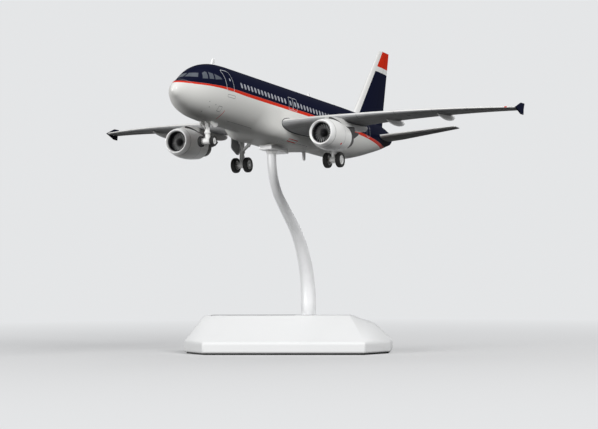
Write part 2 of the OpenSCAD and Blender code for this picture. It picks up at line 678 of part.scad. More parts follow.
module brace(a, b, r) {
    d = b - a;
    translate(a)
        rotate([0, acos(d.z / norm(d)), atan2(d.y, d.x)])
            cylinder(h = norm(d), r = r, $fn = 24);
}
nose_top = keel(nose_gear_station);
main_top = wing_surface(main_gear_station, main_gear_y, -1);
nose_tube = nose_tyre_y - nose_tyre_w / 2 - 0.08;
main_tube = main_tyre_y - main_tyre_w / 2 - 0.08;
module nose_leg() {
    color("#d8d8d4") on_stand() {
        strut(nose_gear_station, 0, nose_top, nose_axle_level, nose_strut_r, nose_tube);
        for (side = [-1, 1]) {
            foot = nose_gear_station - 3.2;
            brace([-foot, side * 0.9, keel(foot) - 0.12],
                [-nose_gear_station, side * 0.25, mix(nose_axle_level, nose_top, 0.55)], 0.26);
        }
    }
}
module main_leg(side) {
    s = main_gear_station;
    y = main_gear_y;
    strut(s, side * y, main_top, main_axle_level, main_strut_r, main_tube);
    brace([-s, side * (y - 0.3), mix(main_axle_level, main_top, 0.5)],
        [-s, side * (y - 5.2), wing_surface(s, y - 5.2, -1) - 0.3], 0.42);
    brace([-s, side * y, mix(main_axle_level, main_top, 0.56)],
        [-s + 3.4, side * y, wing_surface(s - 3.4, y, -1) - 0.3], 0.32);
}

// Rounded doors of the nose bay, hung from the belly beside the strut
module nose_doors() {
    color("#dcdbd6") on_stand()
        for (side = [-1, 1])
            translate([0, side * 2.1 + 0.2, 0])
                rotate([90, 0, 0])
                    linear_extrude(0.4)
                        hull() {
                            translate([-nose_gear_station - 2.2, keel(nose_gear_station) - 1.6])
                                circle(r = 1, $fn = 20);
                            translate([-nose_gear_station - 3.6, keel(nose_gear_station) - 1.4])
                                circle(r = 0.8, $fn = 20);
                            translate([-nose_gear_station - 4, nose_door_top])
                                square([3.4, 0.1]);
                        }
}
nose_door_top = keel(nose_gear_station + 3) * sqrt(1 - pow(2.3 / (fus_w / 2), 2)) - 0.15;

// Door on the outer side of a main strut, hung from the wing
module main_door(side) {
    y = main_gear_y + main_strut_r + 0.65;
    top = wing_surface(main_gear_station, y, -1) - 0.12;
    mirror_to(side)
        translate([0, y + 0.25, 0])
            rotate([90, 0, 0])
                linear_extrude(0.5)
                    translate([-main_gear_station, top])
                        polygon([[2.2, 0], [2.2, -2], [1, -5.4], [-1, -5.4], [-2.2, -2.4], [-2.2, 0]]);
    mirror_to(side)
        translate([-main_gear_station, y - 0.2, top - 2.6])
            rotate([90, 0, 0])
                cylinder(h = 0.4, r = 0.4, $fn = 20);
}

// Blade aerial: a swept, tapered fin on a small foot
module blade(s, z, h, up) {
    t = 0.6;
    translate([0, t / 2, 0])
        rotate([90, 0, 0])
            linear_extrude(t)
                translate([-s, z])
                    polygon([[1.1, 0], [0.4, up * h * 0.8], [0.1, up * h], [-0.7, up * h],
                        [-1, up * h * 0.8], [-1.1, 0]]);
}

module stand_head() {
    r = post_top_r;
    color("#e8e8e6") difference() {
        union() {
            on_pad()
                translate([-pad_behind, -pad_w / 2, -pad_t])
                    cube([pad_behind + pad_ahead, pad_w, pad_t]);
            translate([post_reach, 0, pad_z - pad_t - collar_h])
                cylinder(h = collar_h + pad_t * 0.6, r1 = r + 0.25, r2 = pad_w / 2 - 0.25, $fn = 40);
        }
        translate([post_reach, 0, pad_z - pad_t - collar_h - 1])
            cylinder(h = 1 + spigot_h, r = r * 0.7 + fit, $fn = 32);
        on_pad()
            translate([0, 0, -pad_t * 0.6])
                cylinder(h = pad_t, r = peg_r, $fn = 36);
    }
}
collar_h = 1;
spigot_h = 1.3;

module stand_peg() {
    color("#c8c8c4") on_pad()
        translate([0, 0, -pad_t * 0.6])
            union() {
                cylinder(h = pad_t * 0.6 + peg_len - 0.4, r = peg_r, $fn = 36);
                translate([0, 0, pad_t * 0.6 + peg_len - 0.4])
                    cylinder(h = 0.4, r1 = peg_r, r2 = peg_r - 0.35, $fn = 36);
            }
}

// The post: straight at both ends, with two opposed bends and a straight run between them
post_z0 = base_h + seat_gap;
post_z1 = pad_z - pad_t - collar_h;
lift = post_z1 - post_z0;
// The bend angle that brings the post forward by its reach: found by halving
bend_lift = lift - post_foot - post_head;
function reach_at(a) = let (run = (bend_lift - (bend_low + bend_high) * sin(a)) / cos(a))
    (bend_low + bend_high) * (1 - cos(a)) + run * sin(a);
function find_bend(lo, hi, n = 30) = n == 0 ? (lo + hi) / 2
    : reach_at((lo + hi) / 2) < post_reach ? find_bend((lo + hi) / 2, hi, n - 1)
    : find_bend(lo, (lo + hi) / 2, n - 1);
bend = find_bend(5, 60);
post_path = concat([[0, post_z0, 0], [0, post_z0 + post_foot / 2, 0]],
    [for (t = [0:0.125:1]) let (a = bend * t) [bend_low * (1 - cos(a)), post_z0 + post_foot + bend_low * sin(a), a]],
    [for (t = [0:0.125:1]) let (a = bend * (1 - t))
        [post_reach - bend_high * (1 - cos(a)), post_z1 - post_head - bend_high * sin(a), a]],
    [[post_reach, post_z1, 0]]);
function post_ring(p) = let (r = mix(post_r, post_top_r, smooth((p[1] - post_z0) / lift * 1.1)))
    [for (a = [0:15:345]) [p[0] + r * cos(a) * cos(p[2]), r * sin(a), p[1] - r * cos(a) * sin(p[2])]];
swivel_r = post_r - 0.35;
module post() {
    color("#c4c6c8") difference() {
        union() {
            loft([for (p = post_path) post_ring(p)]);
            translate([post_reach, 0, post_z1 - 0.5])
                cylinder(h = 0.5 + spigot_h - fit - 0.07, r = post_top_r * 0.7, $fn = 32);
            translate([0, 0, base_h - swivel_len])
                cylinder(h = swivel_len + 0.5, r = swivel_r, $fn = 40);
        }
        translate([0, 0, base_h - swivel_len - 1])
            cylinder(h = 1 + screw_in, r = screw_r, $fn = 28);
    }
}
swivel_len = 8;
screw_r = 0.9;
screw_in = 4;

// Screw and washer that keep the post in its socket and let it turn
module post_screw() {
    color("#9a9a98") translate([0, 0, base_h - swivel_len]) {
        translate([0, 0, -screw_head])
            cylinder(h = screw_in + screw_head, r = screw_r, $fn = 28);
        translate([0, 0, -0.6])
            cylinder(h = 0.6 - 0.05, r = swivel_r + 1.2, $fn = 36);
        translate([0, 0, -screw_head])
            cylinder(h = screw_head - 0.6, r = 1.7, $fn = 28);
    }
}
screw_head = 1.7;

// Base frame: local X along the base from its far end to its near end, local Y to its back
module on_base() {
    rotate([0, 0, 90 + base_turn]) children();
}

// Moulded form of the base: an upright skirt, four slopes, cut corners and a ramp at one end
module base_form(inset) {
    b = base_round;
    x0 = -base_left + inset + b;
    x1 = base_right - inset - b;
    y1 = base_half - inset - b;
    cx = corner_x;
    cy = corner_y;
    z0 = sheet_t + b;
    zs = sheet_t + skirt_h;
    zt = base_h - inset - b;
    tx0 = -base_left + end_slope + inset + b;
    tx1 = base_right - end_slope - ramp_len - inset - b;
    k = 0.62;
    hull() {
        for (side = [-1, 1]) {
            for (z = [z0, zs]) {
                translate([x0 + cx, side * y1, z]) sphere(r = b, $fn = 20);
                translate([x0, side * (y1 - cy), z]) sphere(r = b, $fn = 20);
                translate([x1 - cx, side * y1, z]) sphere(r = b, $fn = 20);
                translate([x1, side * (y1 - cy), z]) sphere(r = b, $fn = 20);
            }
            translate([tx0 + cx * k, side * (top_half - b), zt]) sphere(r = b, $fn = 20);
            translate([tx0, side * (top_half - b) * 0.5, zt]) sphere(r = b, $fn = 20);
            translate([tx1, side * (top_half - b), zt]) sphere(r = b, $fn = 20);
            translate([x1 - end_slope + 0.6, side * (top_half + 2.5), zt - ramp_drop])
                sphere(r = b, $fn = 20);
        }
    }
}

module base_shell() {
    color("#f2f2f0") difference() {
        on_base() base_form(0);
        on_base()
            difference() {
                translate([0, 0, -base_round - 0.01])
                    base_form(base_wall);
                translate([0, 0, -1])
                    cylinder(h = base_h + 2, r = swivel_r + 2.4, $fn = 48);
            }
        translate([0, 0, -1])
            cylinder(h = base_h + 2, r = swivel_r + running, $fn = 48);
        translate([0, 0, -1])
            cylinder(h = 1 + base_h - swivel_len, r = swivel_r + 1.4, $fn = 48);
        on_base() plate_pocket(fit);
    }
}

module plate_pocket(grow) {
    translate([-post_r - 2 - plate_len - grow, -top_half + 1.1 - grow, base_h - 0.5])
        cube([plate_len + 2 * grow, 2 * top_half - 2.2 + 2 * grow, 2]);
}

module base_plate() {
    color("#b4b4b2") on_base()
        translate([-post_r - 2 - plate_len, -top_half + 1.1, base_h - 0.5])
            cube([plate_len, 2 * top_half - 2.2, 0.55]);
}

// Outline of the base's skirt seen from above, moved inwards by an inset
module base_outline(inset) {
    x0 = -base_left + inset;
    x1 = base_right - inset;
    y1 = base_half - inset;
    y0 = base_half - inset - corner_y;
    polygon([[x0 + corner_x, -y1], [x1 - corner_x, -y1], [x1, -y0], [x1, y0],
        [x1 - corner_x, y1], [x0 + corner_x, y1], [x0, y0], [x0, -y0]]);
}

// Steel weight that fills the hollow of the base round the post's socket
module base_weight() {
    color("#6f7072") on_base()
        translate([0, 0, sheet_t])
            linear_extrude(weight_t)
                difference() {
                    base_outline(base_wall + 4.6);
                    circle(r = swivel_r + 2.6, $fn = 48);
                }
}

// Thin rubber sheet that the base stands on
module base_sheet() {
    color("#3a3a3a") on_base()
        linear_extrude(sheet_t)
            base_outline(base_round + 0.4);
}

// Colours of the airframe's pairs, and one module for each of their sides
module port_wing() { color("#b9bbbb") on_stand() wing(1); }
module starboard_wing() { color("#b9bbbb") on_stand() wing(-1); }
module port_fence() { color("#232844") on_stand() fence(1); }
module starboard_fence() { color("#232844") on_stand() fence(-1); }
module port_tailplane() { color("#a9abac") on_stand() tailplane(1); }
module starboard_tailplane() { color("#a9abac") on_stand() tailplane(-1); }
module port_pylon() { color("#d6d6d2") on_stand() pylon(1); }
module starboard_pylon() { color("#d6d6d2") on_stand() pylon(-1); }
module port_cowl() { color("#d2d3cf") on_stand() cowl(1); }
module starboard_cowl() { color("#d2d3cf") on_stand() cowl(-1); }
module port_inlet_lip() { color("#f0f0ee") on_stand() inlet_lip(1); }
module starboard_inlet_lip() { color("#f0f0ee") on_stand() inlet_lip(-1); }
module port_core() { color("#4a4b4d") on_stand() core(1); }
module starboard_core() { color("#4a4b4d") on_stand() core(-1); }
module port_fan() { color("#55575a") on_stand() fan(1); }
module starboard_fan() { color("#55575a") on_stand() fan(-1); }
module port_leg() { color("#d8d8d4") on_stand() main_leg(1); }
module starboard_leg() { color("#d8d8d4") on_stand() main_leg(-1); }
module port_door() { color("#b0b2b2") on_stand() main_door(1); }
module starboard_door() { color("#b0b2b2") on_stand() main_door(-1); }

// Nose wheels, and the main wheels of one side
module nose_axle() {
    color("#b0b0ae") on_stand()
        axle(nose_gear_station, 0, nose_axle_level, nose_tyre_y + nose_tyre_w * 0.44);
}
module nose_hubs() {
    color("#e4e4e2") on_stand()
        wheel_pair(nose_gear_station, 0, nose_axle_level, nose_tyre_y) hub(nose_tyre_r, nose_tyre_w);
}
module nose_tyres() {
    color("#262626") on_stand()
        wheel_pair(nose_gear_station, 0, nose_axle_level, nose_tyre_y) tyre(nose_tyre_r, nose_tyre_w);
}
module main_axle(side) {
    color("#b0b0ae") on_stand()
        axle(main_gear_station, side * main_gear_y, main_axle_level, main_tyre_y + main_tyre_w * 0.44);
}
module main_wheels(side) {
    wheel_pair(main_gear_station, side * main_gear_y, main_axle_level, main_tyre_y) children();
}
module main_hubs(side) {
    color("#e4e4e2") on_stand() main_wheels(side) hub(main_tyre_r, main_tyre_w);
}
module main_tyres(side) {
    color("#262626") on_stand() main_wheels(side) tyre(main_tyre_r, main_tyre_w);
}
module port_axle() { main_axle(1); }
module starboard_axle() { main_axle(-1); }
module port_hubs() { main_hubs(1); }
module starboard_hubs() { main_hubs(-1); }
module port_tyres() { main_tyres(1); }
module starboard_tyres() { main_tyres(-1); }

module upper_aerial(s, h) {
    color("#f0f0ee") on_stand() blade(s, crown(s) + seam, h, 1);
}
module front_aerial() { upper_aerial(front_aerial_station, aerial_h); }
module rear_aerial() { upper_aerial(rear_aerial_station, aerial_h * 0.75); }
module aft_aerial() { upper_aerial(aft_aerial_station, aerial_h * 0.35); }
belly_seam = 0.15;
module belly_aerial_blade() {
    color("#f0f0ee") on_stand() blade(belly_aerial, belly(belly_aerial) - belly_seam, belly_aerial_h, -1);
}

fuselage();
port_wing();
starboard_wing();
port_fence();
starboard_fence();
fin();
port_tailplane();
starboard_tailplane();
port_pylon();
starboard_pylon();
port_cowl();
starboard_cowl();
port_inlet_lip();
starboard_inlet_lip();
port_core();
starboard_core();
port_fan();
starboard_fan();
nose_leg();
nose_doors();
nose_axle();
nose_hubs();
nose_tyres();
port_leg();
starboard_leg();
port_door();
starboard_door();
port_axle();
starboard_axle();
port_hubs();
starboard_hubs();
port_tyres();
starboard_tyres();
front_aerial();
rear_aerial();
aft_aerial();
belly_aerial_blade();
stand_head();
stand_peg();
post();
post_screw();
base_shell();
base_weight();
base_plate();
base_sheet();
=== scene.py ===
# %% [markdown]
# # A model airliner on its stand
# The object is a collector's die-cast airliner with its wheels down, held nose-up on a swept
# metal post over a white base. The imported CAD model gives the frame, the bodies and the joints.
# This lesson gives it its looks: smooth castings, spun nacelles, twisted fan blades, and paint
# that is worked out from the place of each point on the aircraft.

# %% Load the frame and keep its box
import math
import bmesh
import bpy
from mathutils import Matrix, Vector


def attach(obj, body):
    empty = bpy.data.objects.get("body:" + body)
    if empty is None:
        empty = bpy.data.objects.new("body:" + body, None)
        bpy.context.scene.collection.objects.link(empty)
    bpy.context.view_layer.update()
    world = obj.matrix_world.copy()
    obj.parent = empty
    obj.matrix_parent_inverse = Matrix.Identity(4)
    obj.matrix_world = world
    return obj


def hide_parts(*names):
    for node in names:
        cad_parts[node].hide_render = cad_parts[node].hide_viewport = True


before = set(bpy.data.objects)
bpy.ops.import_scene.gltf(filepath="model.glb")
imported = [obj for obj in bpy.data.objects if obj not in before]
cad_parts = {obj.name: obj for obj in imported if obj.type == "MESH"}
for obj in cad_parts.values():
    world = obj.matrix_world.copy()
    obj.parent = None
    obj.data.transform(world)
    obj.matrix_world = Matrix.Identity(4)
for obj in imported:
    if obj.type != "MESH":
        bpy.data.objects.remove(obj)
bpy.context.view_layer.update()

# %% [markdown]
# ## Sizes
# All lengths are in millimetres and all angles in degrees, as on a drawing. A station is a
# distance behind the nose tip, and a level is a height over the barrel's middle. The sizes that
# the whole aircraft hangs on come first, and those of a single piece stand with that piece.
# Names end in _len, _w, _h, _d and _t for length, width, height, depth and thickness, in _r
# for a radius, and in _y for a distance sideways from the middle.

# %% Driving sizes of the body and the wing
nose_len = 31
barrel_len = 87
tail_len = 66
barrel_w = 19.75
barrel_h = 20.7
fairing_w = 20.8
fairing_d = 11.5
wing_station = 62.5
root_chord = 30.7
root_gap = 0.03
semi_span = 84.8
kink_y = 32
wing_sweep = 27.5
trailing_sweep = 16.6
wing_dihedral = 5.1
wing_bow = 1.2
wing_level = -5.8
edge_t = 0.3
tail_start = nose_len + barrel_len
fuselage_len = tail_start + tail_len
root_y = fairing_w / 2 + root_gap
root_end = wing_station + root_chord
print("Length and span in mm:", fuselage_len, 2 * semi_span)

# %% [markdown]
# ## Two frames
# The aircraft stands nose-up and leans a little on its peg. Each of its pieces is modelled level,
# in millimetres, with X forward from the nose tip, and one matrix then carries it onto the stand.
# The base has a matrix of its own, because its long side is turned against the aircraft.

# %% Matrices that carry finished pieces into the shared frame
nose_up = 5
lean = 1.7
pad_z = 76.5
post_reach = 30.6
pad_station = 75.4
belly_gap = 0.85
base_turn = 90 + 20.5
mm = Matrix.Scale(0.001, 4)
on_pad = (
    Matrix.Translation((post_reach, 0, pad_z))
    @ Matrix.Rotation(math.radians(-nose_up), 4, "Y")
    @ Matrix.Rotation(math.radians(lean), 4, "X")
)
on_stand = mm @ on_pad @ Matrix.Translation((pad_station, 0, fairing_d + belly_gap))
on_base = mm @ Matrix.Rotation(math.radians(base_turn), 4, "Z")
nose_tip = on_stand @ Vector((0, 0, 0))
print("Nose tip in mm:", [round(1000 * v, 1) for v in nose_tip])

# %% [markdown]
# ## Modelling helpers
# Most pieces of an aircraft are skins over a row of cross-sections. A filled outline is extruded
# again and again, and the corners of each new face are put where the next section has them.
# The other helper spins a profile, which suits nacelles, wheels and struts.

# %% Outlines and skins
def move_corners(piece, points):
    """Puts the selected corners, in their order, at the given places."""
    shape = bmesh.from_edit_mesh(piece.data)
    chosen = [corner for corner in shape.verts if corner.select]
    for corner, point in zip(chosen, points):
        corner.co = point
    bmesh.update_edit_mesh(piece.data)


def outline(name, points, fill="NGON"):
    """A circle primitive in edit mode, whose corners take the given places."""
    bpy.ops.object.select_all(action="DESELECT")
    bpy.ops.mesh.primitive_circle_add(vertices=len(points), fill_type=fill)
    piece = bpy.context.object
    piece.name = name
    bpy.ops.object.mode_set(mode="EDIT")
    move_corners(piece, points)
    return piece


def close(piece, angle=35):
    """Merges doubles, turns the normals outward and shades the piece smooth but for its edges."""
    bpy.ops.mesh.select_all(action="SELECT")
    bpy.ops.mesh.remove_doubles(threshold=0.002)
    bpy.ops.mesh.normals_make_consistent(inside=False)
    bpy.ops.object.mode_set(mode="OBJECT")
    bpy.ops.object.shade_smooth_by_angle(angle=math.radians(angle))
    return piece


def skin(name, rings, angle=35):
    """A body over a row of sections, extruded from one to the next."""
    piece = outline(name, rings[0])
    for ring in rings[1:]:
        bpy.ops.mesh.extrude_region_move()
        move_corners(piece, ring)
    return close(piece, angle)


# %% Rounded plates and spun pieces
def bevel(piece, width, segments=2):
    """Rounds the sharp edges with a modifier and applies it."""
    rounding = piece.modifiers.new("rounding", "BEVEL")
    rounding.width = width
    rounding.segments = segments
    rounding.limit_method = "ANGLE"
    rounding.angle_limit = math.radians(30)
    bpy.ops.object.modifier_apply(modifier=rounding.name)
    bpy.ops.object.shade_smooth_by_angle(angle=math.radians(40))
    return piece


def plate(name, points, along, width):
    """A flat part: its outline, extruded by the vector along, with edges rounded by the width."""
    far = [Vector(point) + Vector(along) for point in points]
    return bevel(skin(name, [points, far]), width)


def spun(name, profile, centre, axis, steps=72):
    """Spins a profile about an axis. A profile point is (place along the axis, radius)."""
    way = Vector(axis).normalized()
    out = way.orthogonal().normalized()
    places = [Vector(centre) + way * a + out * r for a, r in profile]
    piece = outline(name, places, fill="NOTHING")
    bpy.ops.mesh.spin(steps=steps, angle=2 * math.pi, center=centre, axis=way)
    return close(piece)


# %% [markdown]
# ## Placing and naming
# A finished piece sits at the origin with its place in its mesh, rides on a body, and stands for
# one or more CAD nodes. The two sides of an aircraft are alike, so a port piece is modelled once
# and its mirrored copy gets its faces turned outward again.

# %% Copies, mirrored twins and joined pieces
def only(piece):
    """Makes one piece the selected and active one."""
    bpy.ops.object.select_all(action="DESELECT")
    piece.select_set(True)
    bpy.context.view_layer.objects.active = piece


def copied(piece, name, matrix):
    """A copy with its own mesh, moved by a matrix."""
    only(piece)
    bpy.ops.object.duplicate()
    twin = bpy.context.object
    twin.name = name
    twin.data.transform(matrix)
    return twin


def mirrored(piece, name):
    """The twin on the other side of the aircraft, with its faces turned outward."""
    twin = copied(piece, name, Matrix.Scale(-1, 4, (0, 1, 0)))
    bpy.ops.object.mode_set(mode="EDIT")
    bpy.ops.mesh.select_all(action="SELECT")
    bpy.ops.mesh.flip_normals()
    bpy.ops.object.mode_set(mode="OBJECT")
    return twin


def joined(name, pieces):
    """One piece out of several that are cast or glued together."""
    only(pieces[0])
    for piece in pieces[1:]:
        piece.select_set(True)
    bpy.ops.object.join()
    pieces[0].name = name
    return pieces[0]


# %% The hand-over to the frame
def dress(piece, matrix, finish, body, slot, *nodes):
    """Carries a piece into the shared frame, paints it and hands it to its body and its nodes."""
    piece.data.transform(matrix)
    piece.data.materials.clear()
    piece.data.materials.append(finish)
    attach(piece, body)
    if nodes:
        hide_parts(*nodes)
    print(piece.name, "rides on", body, "with", len(piece.data.polygons), "faces")


def dress_pair(piece, finish, slot, kind, body="airframe", nodes=True):
    """Dresses a port piece and its starboard twin. The body may name the side it rides on."""
    twin = mirrored(piece, "starboard_" + kind + "_look")
    piece.name = "port_" + kind + "_look"
    for side, item in (("port", piece), ("starboard", twin)):
        named = [side + "_" + kind] if nodes else []
        dress(item, on_stand, finish, body.format(side), slot, *named)


# %% [markdown]
# ## Paint by place
# The paint of a die-cast model is printed with pads, and its edges are sharp to a tenth of a
# millimetre. The masks below do the same: they are worked out from the place of each point on
# the aircraft. A small class lets them be written as sums and products.

# %% Shader arithmetic
class Socket:
    """One output of a shader node; plus, minus and times add Math nodes behind it."""

    def __init__(self, tree, output):
        self.tree = tree
        self.output = output

    def node(self, kind, settings, inputs, output=0):
        """Adds any node: its settings first, then its values and links."""
        made = self.tree.nodes.new(kind)
        for name, value in settings.items():
            setattr(made, name, value)
        for key, value in inputs.items():
            if isinstance(value, Socket):
                self.tree.links.new(value.output, made.inputs[key])
            else:
                made.inputs[key].default_value = value
        return Socket(self.tree, made.outputs[output])

    def math(self, operation, *others, clamp=False):
        """Adds a Math node that works on this socket and the others."""
        inputs = dict(enumerate((self,) + others))
        settings = {"operation": operation, "use_clamp": clamp}
        return self.node("ShaderNodeMath", settings, inputs)

    def __add__(self, other):
        return self.math("ADD", other)

    def __radd__(self, other):
        return self.math("ADD", other)

    def __sub__(self, other):
        return self.math("SUBTRACT", other)

    def __rsub__(self, other):
        return (self * -1).math("ADD", other)

    def __mul__(self, other):
        return self.math("MULTIPLY", other)

    def __rmul__(self, other):
        return self.math("MULTIPLY", other)

    def size(self):
        """The value without its sign."""
        return self.math("ABSOLUTE")


# %% Masks: steps, bands and lines
def above(value, edge, soft=0.08):
    """1 where the value is over the edge and 0 below it, with a soft step between."""
    return ((value - edge) * (1 / soft)).math("ADD", 0.5, clamp=True)


def ramp(value, start, end):
    """Rises evenly from 0 to 1 between two values."""
    return above(value, (start + end) / 2, end - start)


def between(value, low, high, soft=0.08):
    """1 where the value lies between two edges."""
    return above(value, low, soft) - above(value, high, soft)


def line(distance, width, soft=0.06):
    """1 on a line: where the distance from it is within half of its width."""
    return above(width / 2 - distance.size(), 0, soft)


def either(*masks):
    """The largest of several masks."""
    result = masks[0]
    for mask in masks[1:]:
        result = result.math("MAXIMUM", mask)
    return result


# %% Masks: round-cornered boxes and slanted panes
def reach(a, b):
    """How far apart two points are, from their distances along two axes."""
    return (a * a + b * b).math("SQRT")


def from_box(u, v, centre, size, corner):
    """Distance from the edge of a box with round corners; it is below nought inside."""
    a = (u - centre[0]).size() - (size[0] / 2 - corner)
    b = (v - centre[1]).size() - (size[1] / 2 - corner)
    out = reach(a.math("MAXIMUM", 0), b.math("MAXIMUM", 0))
    return out + a.math("MAXIMUM", b).math("MINIMUM", 0) - corner


def box_fill(u, v, centre, size, corner):
    """1 inside a box with round corners."""
    return above(from_box(u, v, centre, size, corner) * -1, 0)


def box_line(u, v, centre, size, corner=0.2, width=0.14):
    """1 on the outline of a box with round corners."""
    return line(from_box(u, v, centre, size, corner), width)


def pane(u, v, corners):
    """1 inside a pane with straight sides, whose corners run clockwise."""
    inside = None
    for (u0, v0), (u1, v1) in zip(corners, corners[1:] + corners[:1]):
        length = math.hypot(u1 - u0, v1 - v0)
        distance = (u - u0) * ((v1 - v0) / length) - (v - v0) * ((u1 - u0) / length)
        within = above(distance, 0, 0.12)
        inside = within if inside is None else inside.math("MINIMUM", within)
    return inside


# %% [markdown]
# A material starts from the place of the point on the object. For the airframe the Mapping node
# turns that place level again, so that the masks can use stations and levels as the sizes do.

# %% Starting a material
def socket_name(key):
    """The shader's socket behind a plain word, such as Base Color behind base_color."""
    return key.replace("_", " ").title().replace("Ior", "IOR")


def paint(name, **constants):
    """A new material with constant values set on its shader's own sockets."""
    made = bpy.data.materials.new(name)
    made.use_nodes = True
    shader = made.node_tree.nodes["Principled BSDF"]
    for key, value in constants.items():
        shader.inputs[socket_name(key)].default_value = value
    return made


def place_in(made, location=(0, 0, 0), turn=(0, 0, 0)):
    """The place of a point in mm, seen from a spot that may be turned: its X, Y and Z."""
    tree = made.node_tree
    start = Socket(tree, tree.nodes.new("ShaderNodeTexCoord").outputs["Object"])
    inputs = {"Vector": start, "Location": location, "Rotation": turn, "Scale": (0.001,) * 3}
    place = start.node("ShaderNodeMapping", {"vector_type": "TEXTURE"}, inputs)
    axes = [place.node("ShaderNodeSeparateXYZ", {}, {"Vector": place}, n) for n in range(3)]
    return [place] + axes


def on_aircraft(made):
    """The point, its station behind the nose tip, its distance to port and its level."""
    turn = (math.radians(lean), math.radians(-nose_up), 0)
    place, ahead, port, level = place_in(made, nose_tip, turn)
    return place, ahead * -1, port, level


# %% Colours laid over each other, grain and the finished material
def colour(mask, under, over):
    """One colour where the mask is 0 and the other where it is 1."""
    inputs = {0: mask, 6: under, 7: over}
    return mask.node("ShaderNodeMix", {"data_type": "RGBA"}, inputs, output=2)


def printed(ground, *prints):
    """Lays colours over a ground, each with its mask, as one printing follows another."""
    for mask, tone in prints:
        ground = colour(mask, ground, tone)
    return ground


def noise(place, scale, detail=3):
    """A cloudy pattern between 0 and 1; a larger scale makes a finer grain."""
    inputs = {"Vector": place, "Scale": scale, "Detail": detail}
    return place.node("ShaderNodeTexNoise", {}, inputs)


def bump(height, depth):
    """Turns a height between 0 and 1 into a normal; the depth is in mm."""
    inputs = {"Height": height, "Distance": depth / 1000}
    return height.node("ShaderNodeBump", {}, inputs)


def wire(made, **links):
    """Feeds the shader's sockets from worked-out values."""
    shader = made.node_tree.nodes["Principled BSDF"]
    for key, value in links.items():
        made.node_tree.links.new(value.output, shader.inputs[socket_name(key)])
    print("Material", made.name, "has", len(made.node_tree.nodes), "nodes")
    return made


def enamel(made, place, tint, cuts, rough=0.3, spread=0.1):
    """Finishes an enamel: its colours, a grain in its gloss, and its engraved lines."""
    grain = noise(place, 2.5)
    height = bump(grain * 0.015 - cuts, 0.06)
    wire(made, base_color=tint, roughness=rough + grain * spread, normal=height)


def plain_finish(name, one, other, scale, rough=0.3, spread=0.1, depth=0.006, **constants):
    """A finish between two tones, with its roughness and its surface broken by a grain."""
    made = paint(name, **constants)
    place = place_in(made)[0]
    broad = noise(place, scale / 8)
    grain = noise(place, scale)
    return wire(
        made,
        base_color=colour(broad, one + (1,), other + (1,)),
        roughness=rough + grain * spread,
        normal=bump(grain, depth),
    )


# %% [markdown]
# ## The livery
# The upper half of the body is dark navy over warm light grey, with a bright red line between.
# The line runs straight along the barrel and falls away at the tail. So dark an enamel would
# mirror the pale room as a grey film, so only its thin clear coat mirrors anything.

# %% Colours of the enamel
navy = (0.006, 0.008, 0.026, 1)
deep_navy = (0.003, 0.004, 0.012, 1)
red = (0.7, 0.03, 0.008, 1)
light = (0.8, 0.8, 0.77, 1)
white = (0.86, 0.86, 0.84, 1)
glass = (0.1, 0.115, 0.14, 1)
window_grey = (0.4, 0.42, 0.47, 1)
line_grey = (0.12, 0.12, 0.125, 1)
pale_line = (0.55, 0.57, 0.6, 1)
print("Red of the line on a screen, of 255:", [round(255 * v ** (1 / 2.2)) for v in red[:3]])

# %% Where the cheatline runs
line_level = 0.6
nose_drop = 0.3
tail_drop = 0.95
thin_half = 0.34
full_half = 0.58
tail_cap = 177
livery = paint("livery_enamel", specular_ior_level=0, coat_roughness=0.05)
place, station, port, level = on_aircraft(livery)
sideways = port.size()
middle = line_level - ramp(station, 20, 36) * nose_drop - ramp(station, 85, 166) * tail_drop
half = thin_half + ramp(station, 14, 34) * (full_half - thin_half)
over_line = above(level - middle - half, 0)
red_line = above(level - middle + half, 0) - over_line
at_end = above(station, tail_cap)
upper = either(over_line, at_end)
print("The red line is", 2 * full_half, "mm wide along the barrel")

# %% [markdown]
# The cabin windows are small rounded boxes at an even pitch. A remainder of the station brings
# each of them to the same place, so one box draws the whole row. The overwing exits interrupt it.

# %% Cabin windows
pitch = 2.63
fore_start = 32.8
aft_start = 77.8
exits_at = 73
window_size = (1.3, 2)
window_level = 3.2
window_fall = 0.012
fore_row = (31.5, 68.4)
aft_row = (76.6, 139.6)
row_start = fore_start + above(station, exits_at, soft=0.01) * (aft_start - fore_start)
along = (station - row_start + pitch / 2).math("FLOORED_MODULO", pitch) - pitch / 2
sill = window_level - (station - 30) * window_fall
in_rows = either(between(station, *fore_row, 0.02), between(station, *aft_row, 0.02))
cabin = box_fill(along, level - sill, (0, 0), window_size, 0.6) * in_rows
row_lens = [end - start for start, end in (fore_row, aft_row)]
print("Windows on each side:", [round(length / pitch) for length in row_lens])

# %% Overwing exits and doors
exit_level = 2.6
exit_frame = (3.2, 4.7)
exit_pane = (1.3, 1.9)
slanted = station - (level - exit_level) * 0.25
exit_panes = []
exit_frames = []
for frame_s, pane_s in ((71.6, 71.3), (75.2, 75.1)):
    exit_frames.append(box_line(slanted, level, (frame_s, 2.5), exit_frame, corner=0.6, width=0.26))
    exit_panes.append(box_fill(station, level, (pane_s, exit_level), exit_pane, 0.6))
door_h = 7.4
door_frames = [
    box_line(station, level, (door_s, door_level), (door_w, door_h), corner=0.9, width=0.3)
    for door_s, door_level, door_w in ((24.4, 3.6, 4.6), (143.2, 3.4, 4.2))
]
door_pane = box_fill(station, level, (24.9, 4), (0.8, 1), 0.35)
openings = either(cabin, *exit_panes, door_pane)
pale_frames = either(*exit_frames, *door_frames) * above(sideways, 4)
print("Frames on each side:", len(exit_frames + door_frames))

# %% [markdown]
# The cockpit has two flat front panes and three side panes on each side. They are printed in
# slate grey, and their frames are left navy. The front panes are drawn as seen from ahead and
# the side panes as seen from the side.

